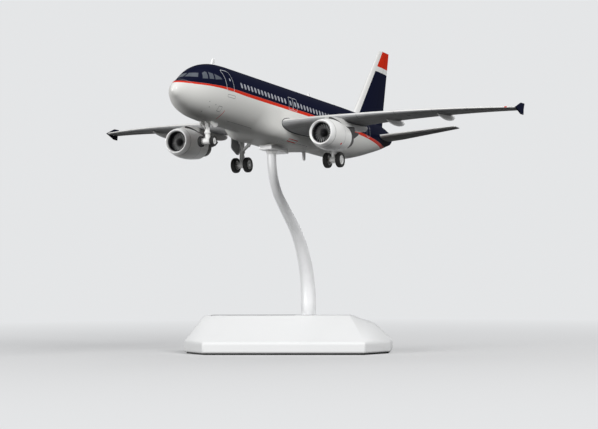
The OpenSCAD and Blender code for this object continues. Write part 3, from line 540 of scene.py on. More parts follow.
# %% Cockpit panes
front_pane = pane(sideways, level, [(0.3, 3.1), (0.3, 4.85), (3.3, 4.85), (4.1, 3.1)])
front_pane = front_pane * between(station, 7, 13.5) * above(sideways, 0.3)
pane_corners = (
    [(11.7, 2.7), (13.2, 4.9), (14.5, 5.6), (14.9, 5.4), (13.7, 2.9)],
    [(14.3, 2.9), (15.5, 5.5), (16.9, 5.1), (16.2, 3.0)],
    [(16.8, 3.0), (17.5, 5.1), (19.9, 4.2), (20.4, 3.5)],
)
side_panes = [pane(station, level, corners) for corners in pane_corners]
cockpit = either(front_pane, either(*side_panes) * above(sideways, 3.6))
print("Cockpit panes on each side:", 1 + len(side_panes))

# %% [markdown]
# Panel lines of the lower half are thin grey prints: the radome's ring, hatches, the doors of
# the gear bays, the long belly lines, and the seams of the wing fairing. What lies on the side is
# drawn over station and level, and what lies on the belly over station and distance sideways.

# %% Panel lines of the sides
radome_station = 6.3
radome_slant = 1.7
from_radome = (station - radome_station + (level - 0.6) * radome_slant) * 0.6
radome = line(from_radome, 0.14) * between(level, -0.2, 2.6)
hatch = box_line(station + level * 0.15, level, (19.8, -6.6), (2, 1.6))
sill_plate = box_line(station, level, (25.2, -1.8), (4.8, 0.9), width=0.16)
cargo_doors = [
    box_line(station, level, centre, size, corner=0.7) * above(port * -1, 2)
    for centre, size in (((45, -5.6), (10, 5.6)), ((115, -5.4), (9, 5.2)))
]
dot_r = 0.22
dots = [
    above(((station - s).size() + (level - z).size()) * -1, -dot_r)
    for s, z in ((15, -6.7), (13.4, -8.3), (14, -5), (17.6, -5.6))
]
side_lines = either(hatch, sill_plate, *cargo_doors, *dots)
print("Livery nodes with the lines of the sides:", len(livery.node_tree.nodes))

# %% Panel lines of the belly
seam_end = 91
seam_slant = 3.2
long_line = line(sideways - 4.5, 0.14) * between(station, 31, 50)
keel_line = line(sideways, 0.12) * between(station, 34, 50)
nose_bay = box_line(station, sideways, (23.5, 0), (11, 2.6), corner=0.3)
main_bay = box_line(station, sideways, (84, 4.4), (9, 7.6), corner=0.5, width=0.16)
small_panels = box_line(station, sideways, (71.5, 6.4), (6, 2.2), width=0.12)
from_seam = (station - seam_end + (level + 7.4) * seam_slant) * 0.3
fairing_seam = line(from_seam, 0.14)
fairing_seam = fairing_seam * between(station, 60, 104)
belly_lines = either(long_line, keel_line, nose_bay, main_bay, small_panels, fairing_seam)
grey_lines = either(side_lines, belly_lines * above(level * -1, 6))
print("Livery nodes with the lines of the belly:", len(livery.node_tree.nodes))

# %% Red marks, and the livery put together
arc = line(station - 24.2, 0.28) * between(level, -9.4, -6.7) * above(port, 0)
belly_mark = box_line(station, level, (74.8, -10.75), (7, 0.7), corner=0.1, width=0.2)
belly_mark = belly_mark * above(sideways, 7)
lower = 1 - upper
body = printed(
    colour(upper, light, navy),
    (red_line * (1 - at_end), red),
    (grey_lines * lower * 0.75, line_grey),
    (either(arc, belly_mark) * lower, red),
    (radome * 0.6, pale_line),
    (pale_frames * 0.7, pale_line),
    (openings * upper, window_grey),
    (cockpit, glass),
)
grain = noise(place, 2.5)
wire(
    livery,
    base_color=body,
    roughness=0.24 + grain * 0.08 - openings * 0.08 - cockpit * 0.1,
    coat_weight=lower * 0.1 + cockpit * 0.2 + 0.03,
    normal=bump(grain * 0.01 - either(grey_lines, pale_frames), 0.05),
)

# %% [markdown]
# ## The fuselage
# The real one is a hollow zinc casting, and its form is given by its crown line, its keel line
# and its width at each station. The tables hold shares of the barrel's half height and half
# width. The skin helper extrudes the sections one after the other, and a smooth curve through
# each table keeps the nose and the tail cone free of kinks.

# %% Form tables
# Share of the length, then crown, keel and half-width as shares of the barrel
nose_form = [
    (0, -0.25, -0.29, 0.03), (0.008, -0.16, -0.34, 0.085), (0.03, -0.07, -0.42, 0.165),
    (0.07, 0.03, -0.51, 0.255), (0.13, 0.14, -0.63, 0.36), (0.2, 0.235, -0.73, 0.47),
    (0.27, 0.325, -0.81, 0.575), (0.35, 0.46, -0.88, 0.675), (0.44, 0.635, -0.93, 0.765),
    (0.54, 0.79, -0.965, 0.85), (0.66, 0.905, -0.985, 0.92), (0.82, 0.98, -0.998, 0.98),
    (1, 1, -1, 1),
]
tail_form = [
    (0, 1, -1, 1), (0.1, 1, -0.99, 1), (0.2, 1, -0.945, 0.98), (0.32, 0.995, -0.865, 0.92),
    (0.42, 0.985, -0.745, 0.84), (0.53, 0.955, -0.59, 0.735), (0.63, 0.92, -0.435, 0.62),
    (0.74, 0.87, -0.26, 0.48), (0.83, 0.81, -0.11, 0.365), (0.93, 0.71, 0.085, 0.23),
    (0.98, 0.64, 0.18, 0.16), (1, 0.57, 0.25, 0.1),
]
print("Sections given for nose and tail:", len(nose_form), len(tail_form))


# %% Smooth curves through a table
def mix(a, b, t):
    """The value at a share of the way from a to b."""
    return a + (b - a) * t


def ease(t):
    """Goes from 0 to 1 without a kink at either end."""
    t = min(1, max(0, t))
    return t * t * (3 - 2 * t)


def slope_at(rows, i, column):
    """The curve's slope at a row: level where the values turn back."""
    steps = [(b[column] - a[column]) / (b[0] - a[0]) for a, b in zip(rows, rows[1:])]
    before = steps[max(i - 1, 0)]
    after = steps[min(i, len(steps) - 1)]
    return 0 if before * after <= 0 else 2 * before * after / (before + after)


def curve(rows, t, column):
    """Reads a column of a table along a smooth curve through its rows."""
    i = max(k for k, row in enumerate(rows[:-1]) if k == 0 or row[0] <= t)
    span = rows[i + 1][0] - rows[i][0]
    u = (t - rows[i][0]) / span
    rise = rows[i + 1][column] - rows[i][column]
    start = slope_at(rows, i, column) * span
    end = slope_at(rows, i + 1, column) * span
    arch = u * u * (3 * rise - 2 * start - end) + u ** 3 * (start + end - 2 * rise)
    return rows[i][column] + u * start + arch


# %% [markdown]
# A nose is round, so its curve leaves the tip at a right angle. A curve over the square root of
# the length does that, and the nose's table is read that way.

# %% Crown, keel and width at any station
def rounded(rows):
    """A table whose curve starts steeply: its lengths are turned into their square roots."""
    return [(math.sqrt(row[0]),) + row[1:] for row in rows]


blunt_nose = rounded(nose_form)


def form(s):
    """Crown level, keel level and half-width at a station."""
    if s < nose_len:
        shares = [curve(blunt_nose, math.sqrt(s / nose_len), column) for column in (1, 2, 3)]
    elif s < tail_start:
        shares = [1, -1, 1]
    else:
        shares = [curve(tail_form, (s - tail_start) / tail_len, column) for column in (1, 2, 3)]
    return shares[0] * barrel_h / 2, shares[1] * barrel_h / 2, shares[2] * barrel_w / 2


def crown_at(s):
    return form(s)[0]


def keel_at(s):
    return form(s)[1]


print("Crown over the cockpit in mm:", round(crown_at(nose_len / 2), 2))

# %% [markdown]
# Under the wing the round barrel swells into a flat-bottomed fairing. Each section blends from
# the round form to the fairing's outline, and the blend comes and goes smoothly along the body.

# %% Where the wing fairing swells
fairing_r = 4
fairing_tail = 15
swell_start = wing_station - 14
swell_end = wing_station - 1.5
fade_start = root_end + 1.8
fade_end = fade_start + fairing_tail


def swell(s):
    """How far a section has left the round barrel for the fairing's outline, from 0 to 1."""
    come = ease((s - swell_start) / (swell_end - swell_start))
    go = ease((s - fade_start) / (fade_end - fade_start))
    return come * (1 - go)


def fairing_at(share):
    """Outline of the fairing, from its upper edge (0) to the middle of the belly (1)."""
    half = fairing_w / 2
    shoulder = 1.5
    shoulder_end = 0.1
    side_end = 0.4
    corner_end = 0.8
    corner_level = fairing_r - fairing_d
    if share < shoulder_end:
        t = share / shoulder_end
        return mix(barrel_w / 2, half, ease(t)), -shoulder * t
    if share < side_end:
        t = (share - shoulder_end) / (side_end - shoulder_end)
        return half, mix(-shoulder, corner_level, t)
    if share < corner_end:
        turn = (share - side_end) / (corner_end - side_end) * math.pi / 2
        y = half - fairing_r * (1 - math.cos(turn))
        return y, corner_level - fairing_r * math.sin(turn)
    return (half - fairing_r) * (1 - share) / (1 - corner_end), -fairing_d


print("The fairing reaches from", swell_start, "to", round(fade_end, 1), "mm behind the nose")

# %% Sections of the fuselage
around = 96


def section(s):
    """One cross-section of the fuselage, all the way round from the crown."""
    crown, keel, half = form(s)
    points = []
    for k in range(around):
        turn = 2 * math.pi * k / around
        y = half * math.sin(turn)
        z = (crown + keel) / 2 + (crown - keel) / 2 * math.cos(turn)
        share = abs(abs(turn - math.pi) - math.pi) / (math.pi / 2) - 1
        if share > 0:
            fair_y, fair_z = fairing_at(share)
            y = mix(y, math.copysign(fair_y, math.sin(turn)), swell(s))
            z = mix(z, fair_z, swell(s))
        points.append((-s, y, z))
    return points


barrel_step = 1.5
nose_steps = 30
tail_steps = 40
stations = [nose_len * (k / nose_steps) ** 2 for k in range(nose_steps)]
stations += [nose_len + barrel_step * k for k in range(int(barrel_len / barrel_step))]
stations += [tail_start + tail_len * k / tail_steps for k in range(tail_steps + 1)]
fuselage = skin("fuselage_look", [section(s) for s in stations])
print("Fuselage sections and faces:", len(stations), len(fuselage.data.polygons))

# %% [markdown]
# The tail cone ends in the small round exhaust of the auxiliary turbine. Its flat end face is
# found by its normal, inset, and pushed in. The belly boss that hides the peg is a spun piece.

# %% Exhaust in the end of the tail cone
def choose_faces(piece, rule):
    """Enters edit mode with only the faces selected that the rule names, and counts them."""
    only(piece)
    bpy.ops.object.mode_set(mode="EDIT")
    bpy.ops.mesh.select_mode(type="FACE")
    bpy.ops.mesh.select_all(action="DESELECT")
    shape = bmesh.from_edit_mesh(piece.data)
    for face in shape.faces:
        face.select = rule(face)
    bmesh.update_edit_mesh(piece.data)
    return sum(face.select for face in shape.faces)


exhaust_rim = 0.25
exhaust_depth = 1.5
ends = choose_faces(fuselage, lambda face: face.normal.x < -0.9 and len(face.verts) > 4)
bpy.ops.mesh.inset(thickness=exhaust_rim)
bpy.ops.mesh.extrude_region_move(TRANSFORM_OT_translate={"value": (exhaust_depth, 0, 0)})
bpy.ops.mesh.select_mode(type="VERT")
close(fuselage)
print("End faces pushed in:", ends)

# %% Boss under the belly
boss_r = 2.1
boss_low = -fairing_d - belly_gap + 0.1
boss_top = -fairing_d + 0.3
boss_line = [(boss_low, 0), (boss_low, boss_r - 0.1), (boss_low + 0.15, boss_r), (boss_top, boss_r),
             (boss_top, 0)]
up = (0, 0, 1)
boss = spun("boss", boss_line, (-pad_station, 0, 0), axis=up, steps=40)
fuselage = joined("fuselage_look", [fuselage, boss])
dress(fuselage, on_stand, livery, "airframe", "fuselage", "fuselage")

# %% [markdown]
# ## Shape of the wings
# One aerofoil outline is carried from rib to rib: its chord shrinks, it twists a little, and
# the whole wing bows up at half span. The edges of the wing are functions of the distance from
# the middle, so the pylons, the gear and the paint can ask them for their places too.

# %% Edges of the wing and its aerofoil
def slope(angle):
    return math.tan(math.radians(angle))


def leading_edge(y):
    return wing_station + (y - root_y) * slope(wing_sweep)


def trailing_edge(y):
    return root_end + max(0, y - kink_y) * slope(trailing_sweep)


def foil(t):
    """Half thickness of a classic aerofoil at a share of its chord."""
    nose_part = 0.2969 * math.sqrt(t) - 0.126 * t - 0.3516 * t * t
    return 5 * (nose_part + 0.2843 * t ** 3 - 0.1036 * t ** 4)


foil_steps = [(1 + math.cos(math.pi * k / 18)) / 2 for k in range(19)]


def foil_ring(point):
    """Places round an aerofoil: point gives one for the face (1 or -1) and a share of chord."""
    return [point(1, t) for t in foil_steps] + [point(-1, t) for t in foil_steps[-2::-1]]


print("Chord at root and tip in mm:", [
    round(trailing_edge(y) - leading_edge(y), 1) for y in (root_y, semi_span)
])

# %% Points of the wing
root_thick = 0.15
tip_thick = 0.11
root_twist = 2.5
tip_twist = -0.5
camber = 0.06


def wing_at(y, t, face):
    """A point of the wing's upper (1) or lower (-1) face at a distance and a share of chord."""
    out = (y - root_y) / (semi_span - root_y)
    chord = trailing_edge(y) - leading_edge(y)
    thick = mix(root_thick, tip_thick, min(1, out * 1.6))
    twist = slope(mix(root_twist, tip_twist, out))
    z = wing_level + (y - root_y) * slope(wing_dihedral) + wing_bow * 4 * out * (1 - out)
    z += chord * (camber * t * (1 - t) + face * thick * foil(t)) + face * edge_t / 2 * t
    return Vector((-leading_edge(y) - t * chord, y, z - t * chord * twist))


def underside(s, y):
    """Level of the wing's underside at a station and a distance."""
    share = (s - leading_edge(y)) / (trailing_edge(y) - leading_edge(y))
    return wing_at(y, share, -1).z


def wing_rib(y):
    return foil_ring(lambda face, t: wing_at(y, t, face))


print("Level of the wingtip in mm:", round(wing_at(semi_span, 0, 1).z, 2))

# %% [markdown]
# ## Paint of the wings
# The wings are mid grey, with a painted highlight on top of the leading edge. The slats, flaps
# and ailerons are fixed on such a model, but their edges are engraved. A share of the chord places
# them.

# %% Where a point lies on the wing
wing_paint = paint("wing_enamel", specular_ior_level=0, coat_weight=0.04, coat_roughness=0.1)
place, station, port, level = on_aircraft(wing_paint)
sideways = port.size()
ahead_edge = leading_edge(sideways)
behind_edge = (sideways - kink_y).math("MAXIMUM", 0) * slope(trailing_sweep) + root_end
chord = behind_edge - ahead_edge
share = (station - ahead_edge).math("DIVIDE", chord)
outward = (sideways - root_y) * (1 / (semi_span - root_y))
bow = outward * (1 - outward) * (4 * wing_bow)
nose_level = (sideways - root_y) * slope(wing_dihedral) + bow + wing_level
print("Wing nodes so far:", len(wing_paint.node_tree.nodes))


# %% Engraved lines of the wing
def chord_line(part, width, inner, outer):
    """1 on a line along the span, at a share of the chord and between two distances."""
    return line((share - part) * chord, width) * between(sideways, inner, outer)


slat_part = 0.15
flap_part = 0.74
slats = chord_line(slat_part, 0.14, 34, 83)
inner_slat = chord_line(0.13, 0.14, 12, 25)
flaps = chord_line(flap_part, 0.16, 12, 64)
aileron = chord_line(0.76, 0.16, 64, 80)
flap_ends = [line(sideways - y, 0.16) * above(share, flap_part) for y in (12, 32, 64, 80)]
slat_ends = [line(sideways - y, 0.14) * above(slat_part - share, 0) for y in (34, 46, 58, 70, 83)]
cuts = either(slats, inner_slat, flaps, aileron, *flap_ends, *slat_ends)
ribs = [line(sideways - y, 0.08) * between(share, 0.16, 0.72) for y in (22, 40, 50, 70)]
faint = either(chord_line(0.4, 0.08, 14, 78), *ribs)
print("Cuts across each wing:", len(flap_ends + slat_ends))

# %% Wing colours
wing_grey = (0.42, 0.425, 0.43, 1)
wing_pale = (0.5, 0.505, 0.51, 1)
# Painted highlight: a white band on the upper side of the leading edge, where the light falls
highlight_root = 0.024
highlight_tip = -0.012
highlight_from = nose_level + chord * (highlight_root - outward * (highlight_root - highlight_tip))
edge_highlight = above(level - highlight_from, 0, 0.12) * above(0.2 - share, 0, 0.05)
tip_mark = between(sideways, 81.4, 82.2) * edge_highlight * above(port, 0)
tank_y = sideways - 49
tank_share = share - 0.35
tank_dot = above((tank_y * tank_y + tank_share * 200 * tank_share) * -1, -0.3)
wing_colour = printed(
    colour(noise(place, 0.12), wing_grey, wing_pale),
    (cuts * 0.8, line_grey),
    (faint * 0.35, line_grey),
    (tank_dot * 0.7, deep_navy),
    (edge_highlight, white),
    (tip_mark, red),
)
enamel(wing_paint, place, wing_colour, cuts + faint * 0.4)

# %% [markdown]
# ## Wings, seams and fairings
# The ribs are skinned from root to tip. Wing and fuselage are separate castings, so a thin dark
# line shows where they meet; a plate with the root's outline, a little larger, gives that line.
# The fairings of the flap tracks hang under the trailing edge like small canoes.

# %% Wings
wing_ribs = [mix(root_y, kink_y, k / 8) for k in range(8)]
wing_ribs += [mix(kink_y, semi_span, k / 18) for k in range(19)]
wing = skin("wing", [wing_rib(y) for y in wing_ribs])
dress_pair(wing, wing_paint, "wings", "wing")

# %% Dark seam at the root
seam_grow = 0.24
seam_dark = plain_finish("seam_dark", (0.02, 0.022, 0.026), (0.035, 0.037, 0.04), scale=6,
                         rough=0.5, spread=0.2, depth=0.01)
rib = wing_rib(root_y)
rib_middle = sum(rib, Vector()) / len(rib)
seam_rings = []
for y in (root_y - 0.35, root_y + 0.12):
    grown = [(p.x, y, p.z + math.copysign(seam_grow, p.z - rib_middle.z)) for p in rib]
    seam_rings.append(grown)
dress_pair(skin("seam", seam_rings), seam_dark, "wings", "wing_seam", nodes=False)

# %% Flap track fairings
canoe_len = 17
canoe_r = 1.45
canoe_rise = math.radians(1.5)
pale_plain = plain_finish("pale_enamel", (0.66, 0.66, 0.64), (0.7, 0.7, 0.68), scale=3,
                          rough=0.28, coat_weight=0.3)
canoe_line = []
for k in range(25):
    t = k / 24
    canoe_line.append((t * canoe_len, canoe_r * max(0, math.sin(math.pi * t ** 1.4)) ** 0.6))
canoe_way = (-math.cos(canoe_rise), 0, math.sin(canoe_rise))
canoes = []
for y in (41, 58.8):
    front = trailing_edge(y) - canoe_len * 0.6
    hang = underside(trailing_edge(y) - canoe_len * 0.2, y) - canoe_r * 0.35
    canoes.append(spun("canoe", canoe_line, (-front, y, hang), axis=canoe_way, steps=32))
dress_pair(joined("canoes", canoes), pale_plain, "wings", "flap_track_fairings", nodes=False)

# %% Wingtip fences
fence_t = 0.6
navy_plain = plain_finish("navy_enamel", navy[:3], (0.009, 0.011, 0.032), scale=3, rough=0.25,
                          depth=0.004, specular_ior_level=0, coat_weight=0.03)
tip_chord = trailing_edge(semi_span) - leading_edge(semi_span)
tip = wing_at(semi_span, 0, 1)
fence_line = [(0.4, 0), (-tip_chord * 0.72, 2.4), (-tip_chord * 1.15, 2.5), (-tip_chord * 1.02, 0.2),
              (-tip_chord, -1.8), (-tip_chord * 0.7, -1.8)]
fence_points = [(tip.x + x, semi_span + root_gap, tip.z + z) for x, z in fence_line]
fence = plate("fence", fence_points, (0, fence_t, 0), width=0.15)
dress_pair(fence, navy_plain, "fences", "fence")

# %% [markdown]
# ## The fin
# Fin and tailplane are symmetric sections. Their root sections follow the curve of the tail
# cone, as the castings do, and their tips are rounded over the last millimetre. The fin is navy,
# with a white leading edge and a red tip over a white block.

# %% Fin paint
fin_root = 28.5
fin_tip = 9.6
fin_foot = 10.2
fin_top = 39.6
fin_sweep = 40.8
fin_start = fuselage_len - 36.7
rudder_part = 0.68
white_level = 30.4
red_level = 32.6
fin_paint = paint("fin_enamel", specular_ior_level=0, coat_weight=0.03, coat_roughness=0.05)
place, station, port, level = on_aircraft(fin_paint)
fin_front = (level - fin_foot) * slope(fin_sweep) + fin_start
fin_share = (level - fin_foot) * (1 / (fin_top - fin_foot))
hinge = fin_front + mix(fin_root, fin_tip, fin_share) * rudder_part
rudder = line(station - hinge, 0.16) * between(level, 13, 38)
top_block = above(level, red_level)
fin_colour = printed(
    colour(above(level, white_level) - top_block, navy, white),
    (top_block, red),
    (above(fin_front + 3.1 - fin_share * 0.4 - station, 0), white),
    (rudder * 0.7, deep_navy),
)
enamel(fin_paint, place, fin_colour, rudder, rough=0.2, spread=0.08)

# %% Fin
fin_base = crown_at(fin_start)
fin_thick = 0.1


def fin_ring(z, thin=1, back=0, root=False):
    """The fin's section at a level. The root follows the crown, and the tip gets thinner."""
    chord = mix(fin_root, fin_tip, (z - fin_base) / (fin_top - fin_base))
    front = fin_start + (z - fin_base) * slope(fin_sweep)

    def point(face, t):
        s = front + back + t * (chord - back)
        y = face * (chord * fin_thick * foil(t) + edge_t / 2 * t) * thin
        return Vector((-s, y, crown_at(s) + 0.03 if root else z))

    return foil_ring(point)


fin_rings = [fin_ring(fin_base, root=True)]
fin_rings += [fin_ring(mix(fin_base, fin_top, h)) for h in (0.2, 0.4, 0.6, 0.8, 0.95)]
for below_top, thin, back in ((0.5, 0.97, 0.15), (0.15, 0.8, 0.5), (0, 0.5, 1.1)):
    fin_rings.append(fin_ring(fin_top - below_top, thin, back))
dress(skin("fin_look", fin_rings), on_stand, fin_paint, "airframe", "fin", "fin")

# %% [markdown]
# ## The tailplane
# Its halves are darker than the wings, with a white leading edge and the elevator's line. Each
# root lies against the side of the tail cone, whose half-width at a level follows from its form.

# %% Tailplane paint
tailplane_root = 17
tailplane_tip = 6.6
tailplane_foot = 5
tailplane_y = 31.1
tailplane_sweep = 33
tailplane_level = 2.6
tailplane_dihedral = 10.2
tailplane_start = fuselage_len - 24.5
tailplane_grey = (0.26, 0.265, 0.27, 1)
tailplane_pale = (0.32, 0.325, 0.33, 1)
elevator_part = 0.7
tail_paint = paint("tailplane_enamel", specular_ior_level=0, coat_weight=0.04, coat_roughness=0.1)
place, station, port, level = on_aircraft(tail_paint)
sideways = port.size()
tail_front = (sideways - tailplane_foot) * slope(tailplane_sweep) + tailplane_start
tail_share = (sideways - tailplane_foot) * (1 / (tailplane_y - tailplane_foot))
hinge = tail_front + mix(tailplane_root, tailplane_tip, tail_share) * elevator_part
elevator = line(station - hinge, 0.15) * between(sideways, 7, 30)
tail_colour = printed(
    colour(noise(place, 0.12), tailplane_grey, tailplane_pale),
    (elevator * 0.8, line_grey),
    (above(tail_front + 1.8 - station, 0, 0.2), white),
)
enamel(tail_paint, place, tail_colour, elevator)

# %% Tailplane
tail_thick = 0.09


def cone_side(s, z):
    """Half-width of the tail cone at a station and a level."""
    crown, keel, half = form(s)
    share = (z - (crown + keel) / 2) / ((crown - keel) / 2)
    return half * math.sqrt(max(0, 1 - share * share))


def tail_ring(y, thin=1, back=0, root=False):
    """The tailplane's section at a distance. The root follows the cone, the tip gets thinner."""
    out = y - tailplane_foot
    chord = mix(tailplane_root, tailplane_tip, out / (tailplane_y - tailplane_foot))
    front = tailplane_start + out * slope(tailplane_sweep)

    def point(face, t):
        s = front + back + t * (chord - back)
        z = tailplane_level + out * slope(tailplane_dihedral)
        z += face * (chord * tail_thick * foil(t) + edge_t / 2 * t) * thin
        return Vector((-s, cone_side(s, z) + 0.1 if root else y, z))

    return foil_ring(point)


tail_rings = [tail_ring(tailplane_foot, root=True)]
tail_rings += [tail_ring(mix(tailplane_foot, tailplane_y, h)) for h in (0.15, 0.35, 0.6, 0.85, 0.95)]
for from_tip, thin, back in ((0.4, 0.95, 0.2), (0.12, 0.75, 0.6), (0, 0.45, 1.2)):
    tail_rings.append(tail_ring(tailplane_y - from_tip, thin, back))
dress_pair(skin("tailplane", tail_rings), tail_paint, "tailplanes", "tailplane")

# %% [markdown]
# ## Paint of the engines
# The cowls are light grey with two ring seams and the latch line along the bottom. The lips are
# bright white, and their throats are painted black as shade, so that each inlet reads as deep as a real
# one.

# %% Cowl paint
engine_y = 29
engine_station = 55.4
engine_level = -11.2
cowl_r = 5.6
cowl_len = 16.5
lip_len = 1.5
duct_r = 3.6
front_seam = 2.3
rear_seam = 9.6
cowl_tone = white
cowl_pale = (0.9, 0.9, 0.88, 1)
cowl_paint = paint("cowl_enamel", specular_ior_level=0.1, coat_weight=0.15, coat_roughness=0.07)
place, station, port, level = on_aircraft(cowl_paint)
off_side = port.size() - engine_y
behind_lip = station - engine_station
seams = either(
    line(behind_lip - front_seam, 0.16),
    line(behind_lip - rear_seam, 0.14),
    line(off_side, 0.14) * above(engine_level - level, 0) * above(behind_lip, front_seam),
)
spot_s = behind_lip - 8
spot_z = level - engine_level + 3.4
red_spot = above((spot_s * spot_s + spot_z * spot_z * 2.5) * -1, -0.35) * above(off_side, 0)
cowl_colour = printed(
    colour(noise(place, 0.2), cowl_tone, cowl_pale),
    (seams * 0.8, line_grey),
    (red_spot, red),
)
enamel(cowl_paint, place, cowl_colour, seams, rough=0.26)


# %% Lip paint
def off_axis(port, level):
    """Distance of a point from the axis of its engine."""
    return reach(port.size() - engine_y, level - engine_level)


lip_white = (0.96, 0.96, 0.95, 1)
throat_shade_black = (0.015, 0.015, 0.016, 1)
throat_r = 3.9
lip_paint = paint("lip_white", coat_weight=0.2, coat_roughness=0.05)
place, station, port, level = on_aircraft(lip_paint)
# Painted shade: the throat turns black behind the lip, so the inlet reads as deep
throat_shade = above(throat_r - off_axis(port, level), 0) * above(station - engine_station, 0.8, 0.15)
grain = noise(place, 3, 2)
wire(
    lip_paint,
    base_color=colour(throat_shade, lip_white, throat_shade_black),
    roughness=0.2 + grain * 0.1 + throat_shade * 0.3,
    normal=bump(grain, 0.004),
)

# %% Duct and core paint
duct_edge = (0.03, 0.03, 0.03, 1)
duct_shade_black = (0.012, 0.012, 0.014, 1)
duct_paint = paint("duct_shade_black", specular_ior_level=0.05)
place, station, port, level = on_aircraft(duct_paint)
# Painted shade: the black liner turns darker still deeper in the duct
deep = above(station - engine_station, lip_len + 0.1, 0.3)
grain = noise(place, 4, 4)
wire(
    duct_paint,
    base_color=colour(deep, duct_edge, duct_shade_black),
    roughness=0.4 + grain * 0.2,
    normal=bump(grain, 0.02),
)

core_dark = (0.02, 0.02, 0.022, 1)
core_brown = (0.055, 0.05, 0.048, 1)
ring_dark = (0.02, 0.02, 0.02, 1)
core_paint = paint("core_metal", metallic=0.4, specular_ior_level=0.2)
place, station, port, level = on_aircraft(core_paint)
heat = noise(place, 0.6, 4)
ring = line(station - engine_station - cowl_len - 2.4, 0.14)
wire(
    core_paint,
    base_color=colour(ring, colour(heat, core_dark, core_brown), ring_dark),
    roughness=0.32 + heat * 0.25,
    normal=bump(heat * 0.2 - ring, 0.05),
)

# %% [markdown]
# ## The engines
# Nacelles are turned forms, so a profile is spun about the engine's axis. The bright lip, the
# grey cowl, the black liner and the dark core are separate pieces on the model too.

# %% Cowl's outer form
# Share of the cowl's length, then its radius as a share of the largest
cowl_form = [
    (0, 0.755), (0.012, 0.785), (0.035, 0.815), (0.09, 0.865), (0.16, 0.915), (0.25, 0.96),
    (0.35, 0.99), (0.45, 1), (0.58, 0.99), (0.72, 0.955), (0.86, 0.905), (1, 0.845),
]
blunt_cowl = rounded(cowl_form)
aft = (-1, 0, 0)
engine_at = (-engine_station, engine_y, engine_level)
fan_depth = 2.9
fan_len = 1.8
bulkhead = fan_depth + fan_len + 0.35
nozzle_r = cowl_r * cowl_form[-1][1] - 0.3


def cowl_radius(x):
    """Outer radius of the cowl at a distance behind its lip."""
    return curve(blunt_cowl, math.sqrt(x / cowl_len), 1) * cowl_r


print("Radius of the cowl at its lip and its end in mm:", round(cowl_radius(0), 2),
      round(cowl_radius(cowl_len), 2))

# %% Lip, cowl and liner
lip_places = [lip_len * (k / 12) ** 2 for k in range(13)]
lip_outer = [(x, cowl_radius(x)) for x in lip_places]
# Share of the lip's length, then how far the throat has opened over the duct's radius
lip_throat = [(1, 0), (0.75, 0.01), (0.5, 0.06), (0.3, 0.15), (0.14, 0.29), (0.04 / lip_len, 0.45)]
lip_inner = [(lip_len * share, duct_r + opened) for share, opened in lip_throat]
lip = spun("lip", lip_outer + lip_inner, engine_at, axis=aft, steps=96)
dress_pair(lip, lip_paint, "inlet_lips", "inlet_lip")

cowl_start = lip_len + 0.03
cowl_step = lip_len + 0.12
cowl_places = [mix(cowl_step, cowl_len, k / 28) for k in range(29)]
cowl_outer = [(cowl_start, cowl_radius(lip_len) - 0.1)] + [(x, cowl_radius(x)) for x in cowl_places]
cowl_inner = [(cowl_len, nozzle_r), (bulkhead, nozzle_r), (bulkhead, duct_r), (cowl_start, duct_r)]
cowl = spun("cowl", cowl_outer + cowl_inner, engine_at, axis=aft, steps=96)
dress_pair(cowl, cowl_paint, "cowls", "cowl")

liner_end = bulkhead - 0.02
liner_line = [(lip_len + 0.02, duct_r - 0.02), (liner_end, duct_r - 0.02), (liner_end, duct_r - 0.07),
              (lip_len + 0.02, duct_r - 0.05)]
liner = spun("liner", liner_line, engine_at, axis=aft)
dress_pair(liner, duct_paint, "cowls", "inlet_liner", nodes=False)

# %% Core with its nozzle and plug
core_r = 3.3
engine_len = 22
spindle_r = 0.45
spindle_start = fan_depth + 0.3
taper = core_r * 0.92
nozzle_wall = 0.25
nozzle_depth = 1.4
core_line = [
    (spindle_start, 0), (spindle_start, spindle_r), (bulkhead, spindle_r),
    (bulkhead, nozzle_r - 0.03), (bulkhead + 1.2, nozzle_r - 0.03), (bulkhead + 1.6, core_r),
    (cowl_len - 2, core_r + 0.1), (cowl_len, core_r), (cowl_len + 1.2, core_r - 0.15),
    (cowl_len + 2.5, mix(core_r, taper, 0.4)), (cowl_len + 4, mix(core_r, taper, 0.7)),
    (engine_len, taper), (engine_len, taper - nozzle_wall),
    (engine_len - nozzle_depth, taper - nozzle_wall), (engine_len - nozzle_depth, taper * 0.62),
    (engine_len, taper * 0.5), (engine_len + 1, 0.75), (engine_len + 1.7, 0.35),
    (engine_len + 1.9, 0),
]
core = spun("core", core_line, engine_at, axis=aft, steps=64)
dress_pair(core, core_paint, "cores", "core")

# %% [markdown]
# ## The fans
# This is the finest piece of the model: twenty-two blades, each twisted from root to tip and
# swept in a slight bow. One blade is a grid whose points are put on the twisted surface and
# given a thickness. It is copied round the hub, and each copy has its own mesh. The blades are
# all but black, and the light on their leading edges is painted on, stronger towards the tips.

# %% Paint of blades and spinner
hub_r = 1.05
blade_black = (0.006, 0.006, 0.007, 1)
edge_white = (0.95, 0.95, 0.95, 1)
blade_paint = paint("blade_metal", specular_ior_level=0)
place, station, port, level = on_aircraft(blade_paint)
into_fan = station - engine_station - fan_depth
outer = (off_axis(port, level) - hub_r) * (1 / (duct_r - hub_r))
edge_depth = (1 - outer * outer) * 0.3
edge_light = above(edge_depth + 0.02 - into_fan, 0, 0.03) * above(outer, 0.15, 0.35)
grain = noise(place, 6)
wire(
    blade_paint,
    base_color=colour(edge_light, blade_black, edge_white),
    metallic=edge_light * 0.5,
    roughness=0.3 + grain * 0.2,
    normal=bump(grain, 0.01),
)

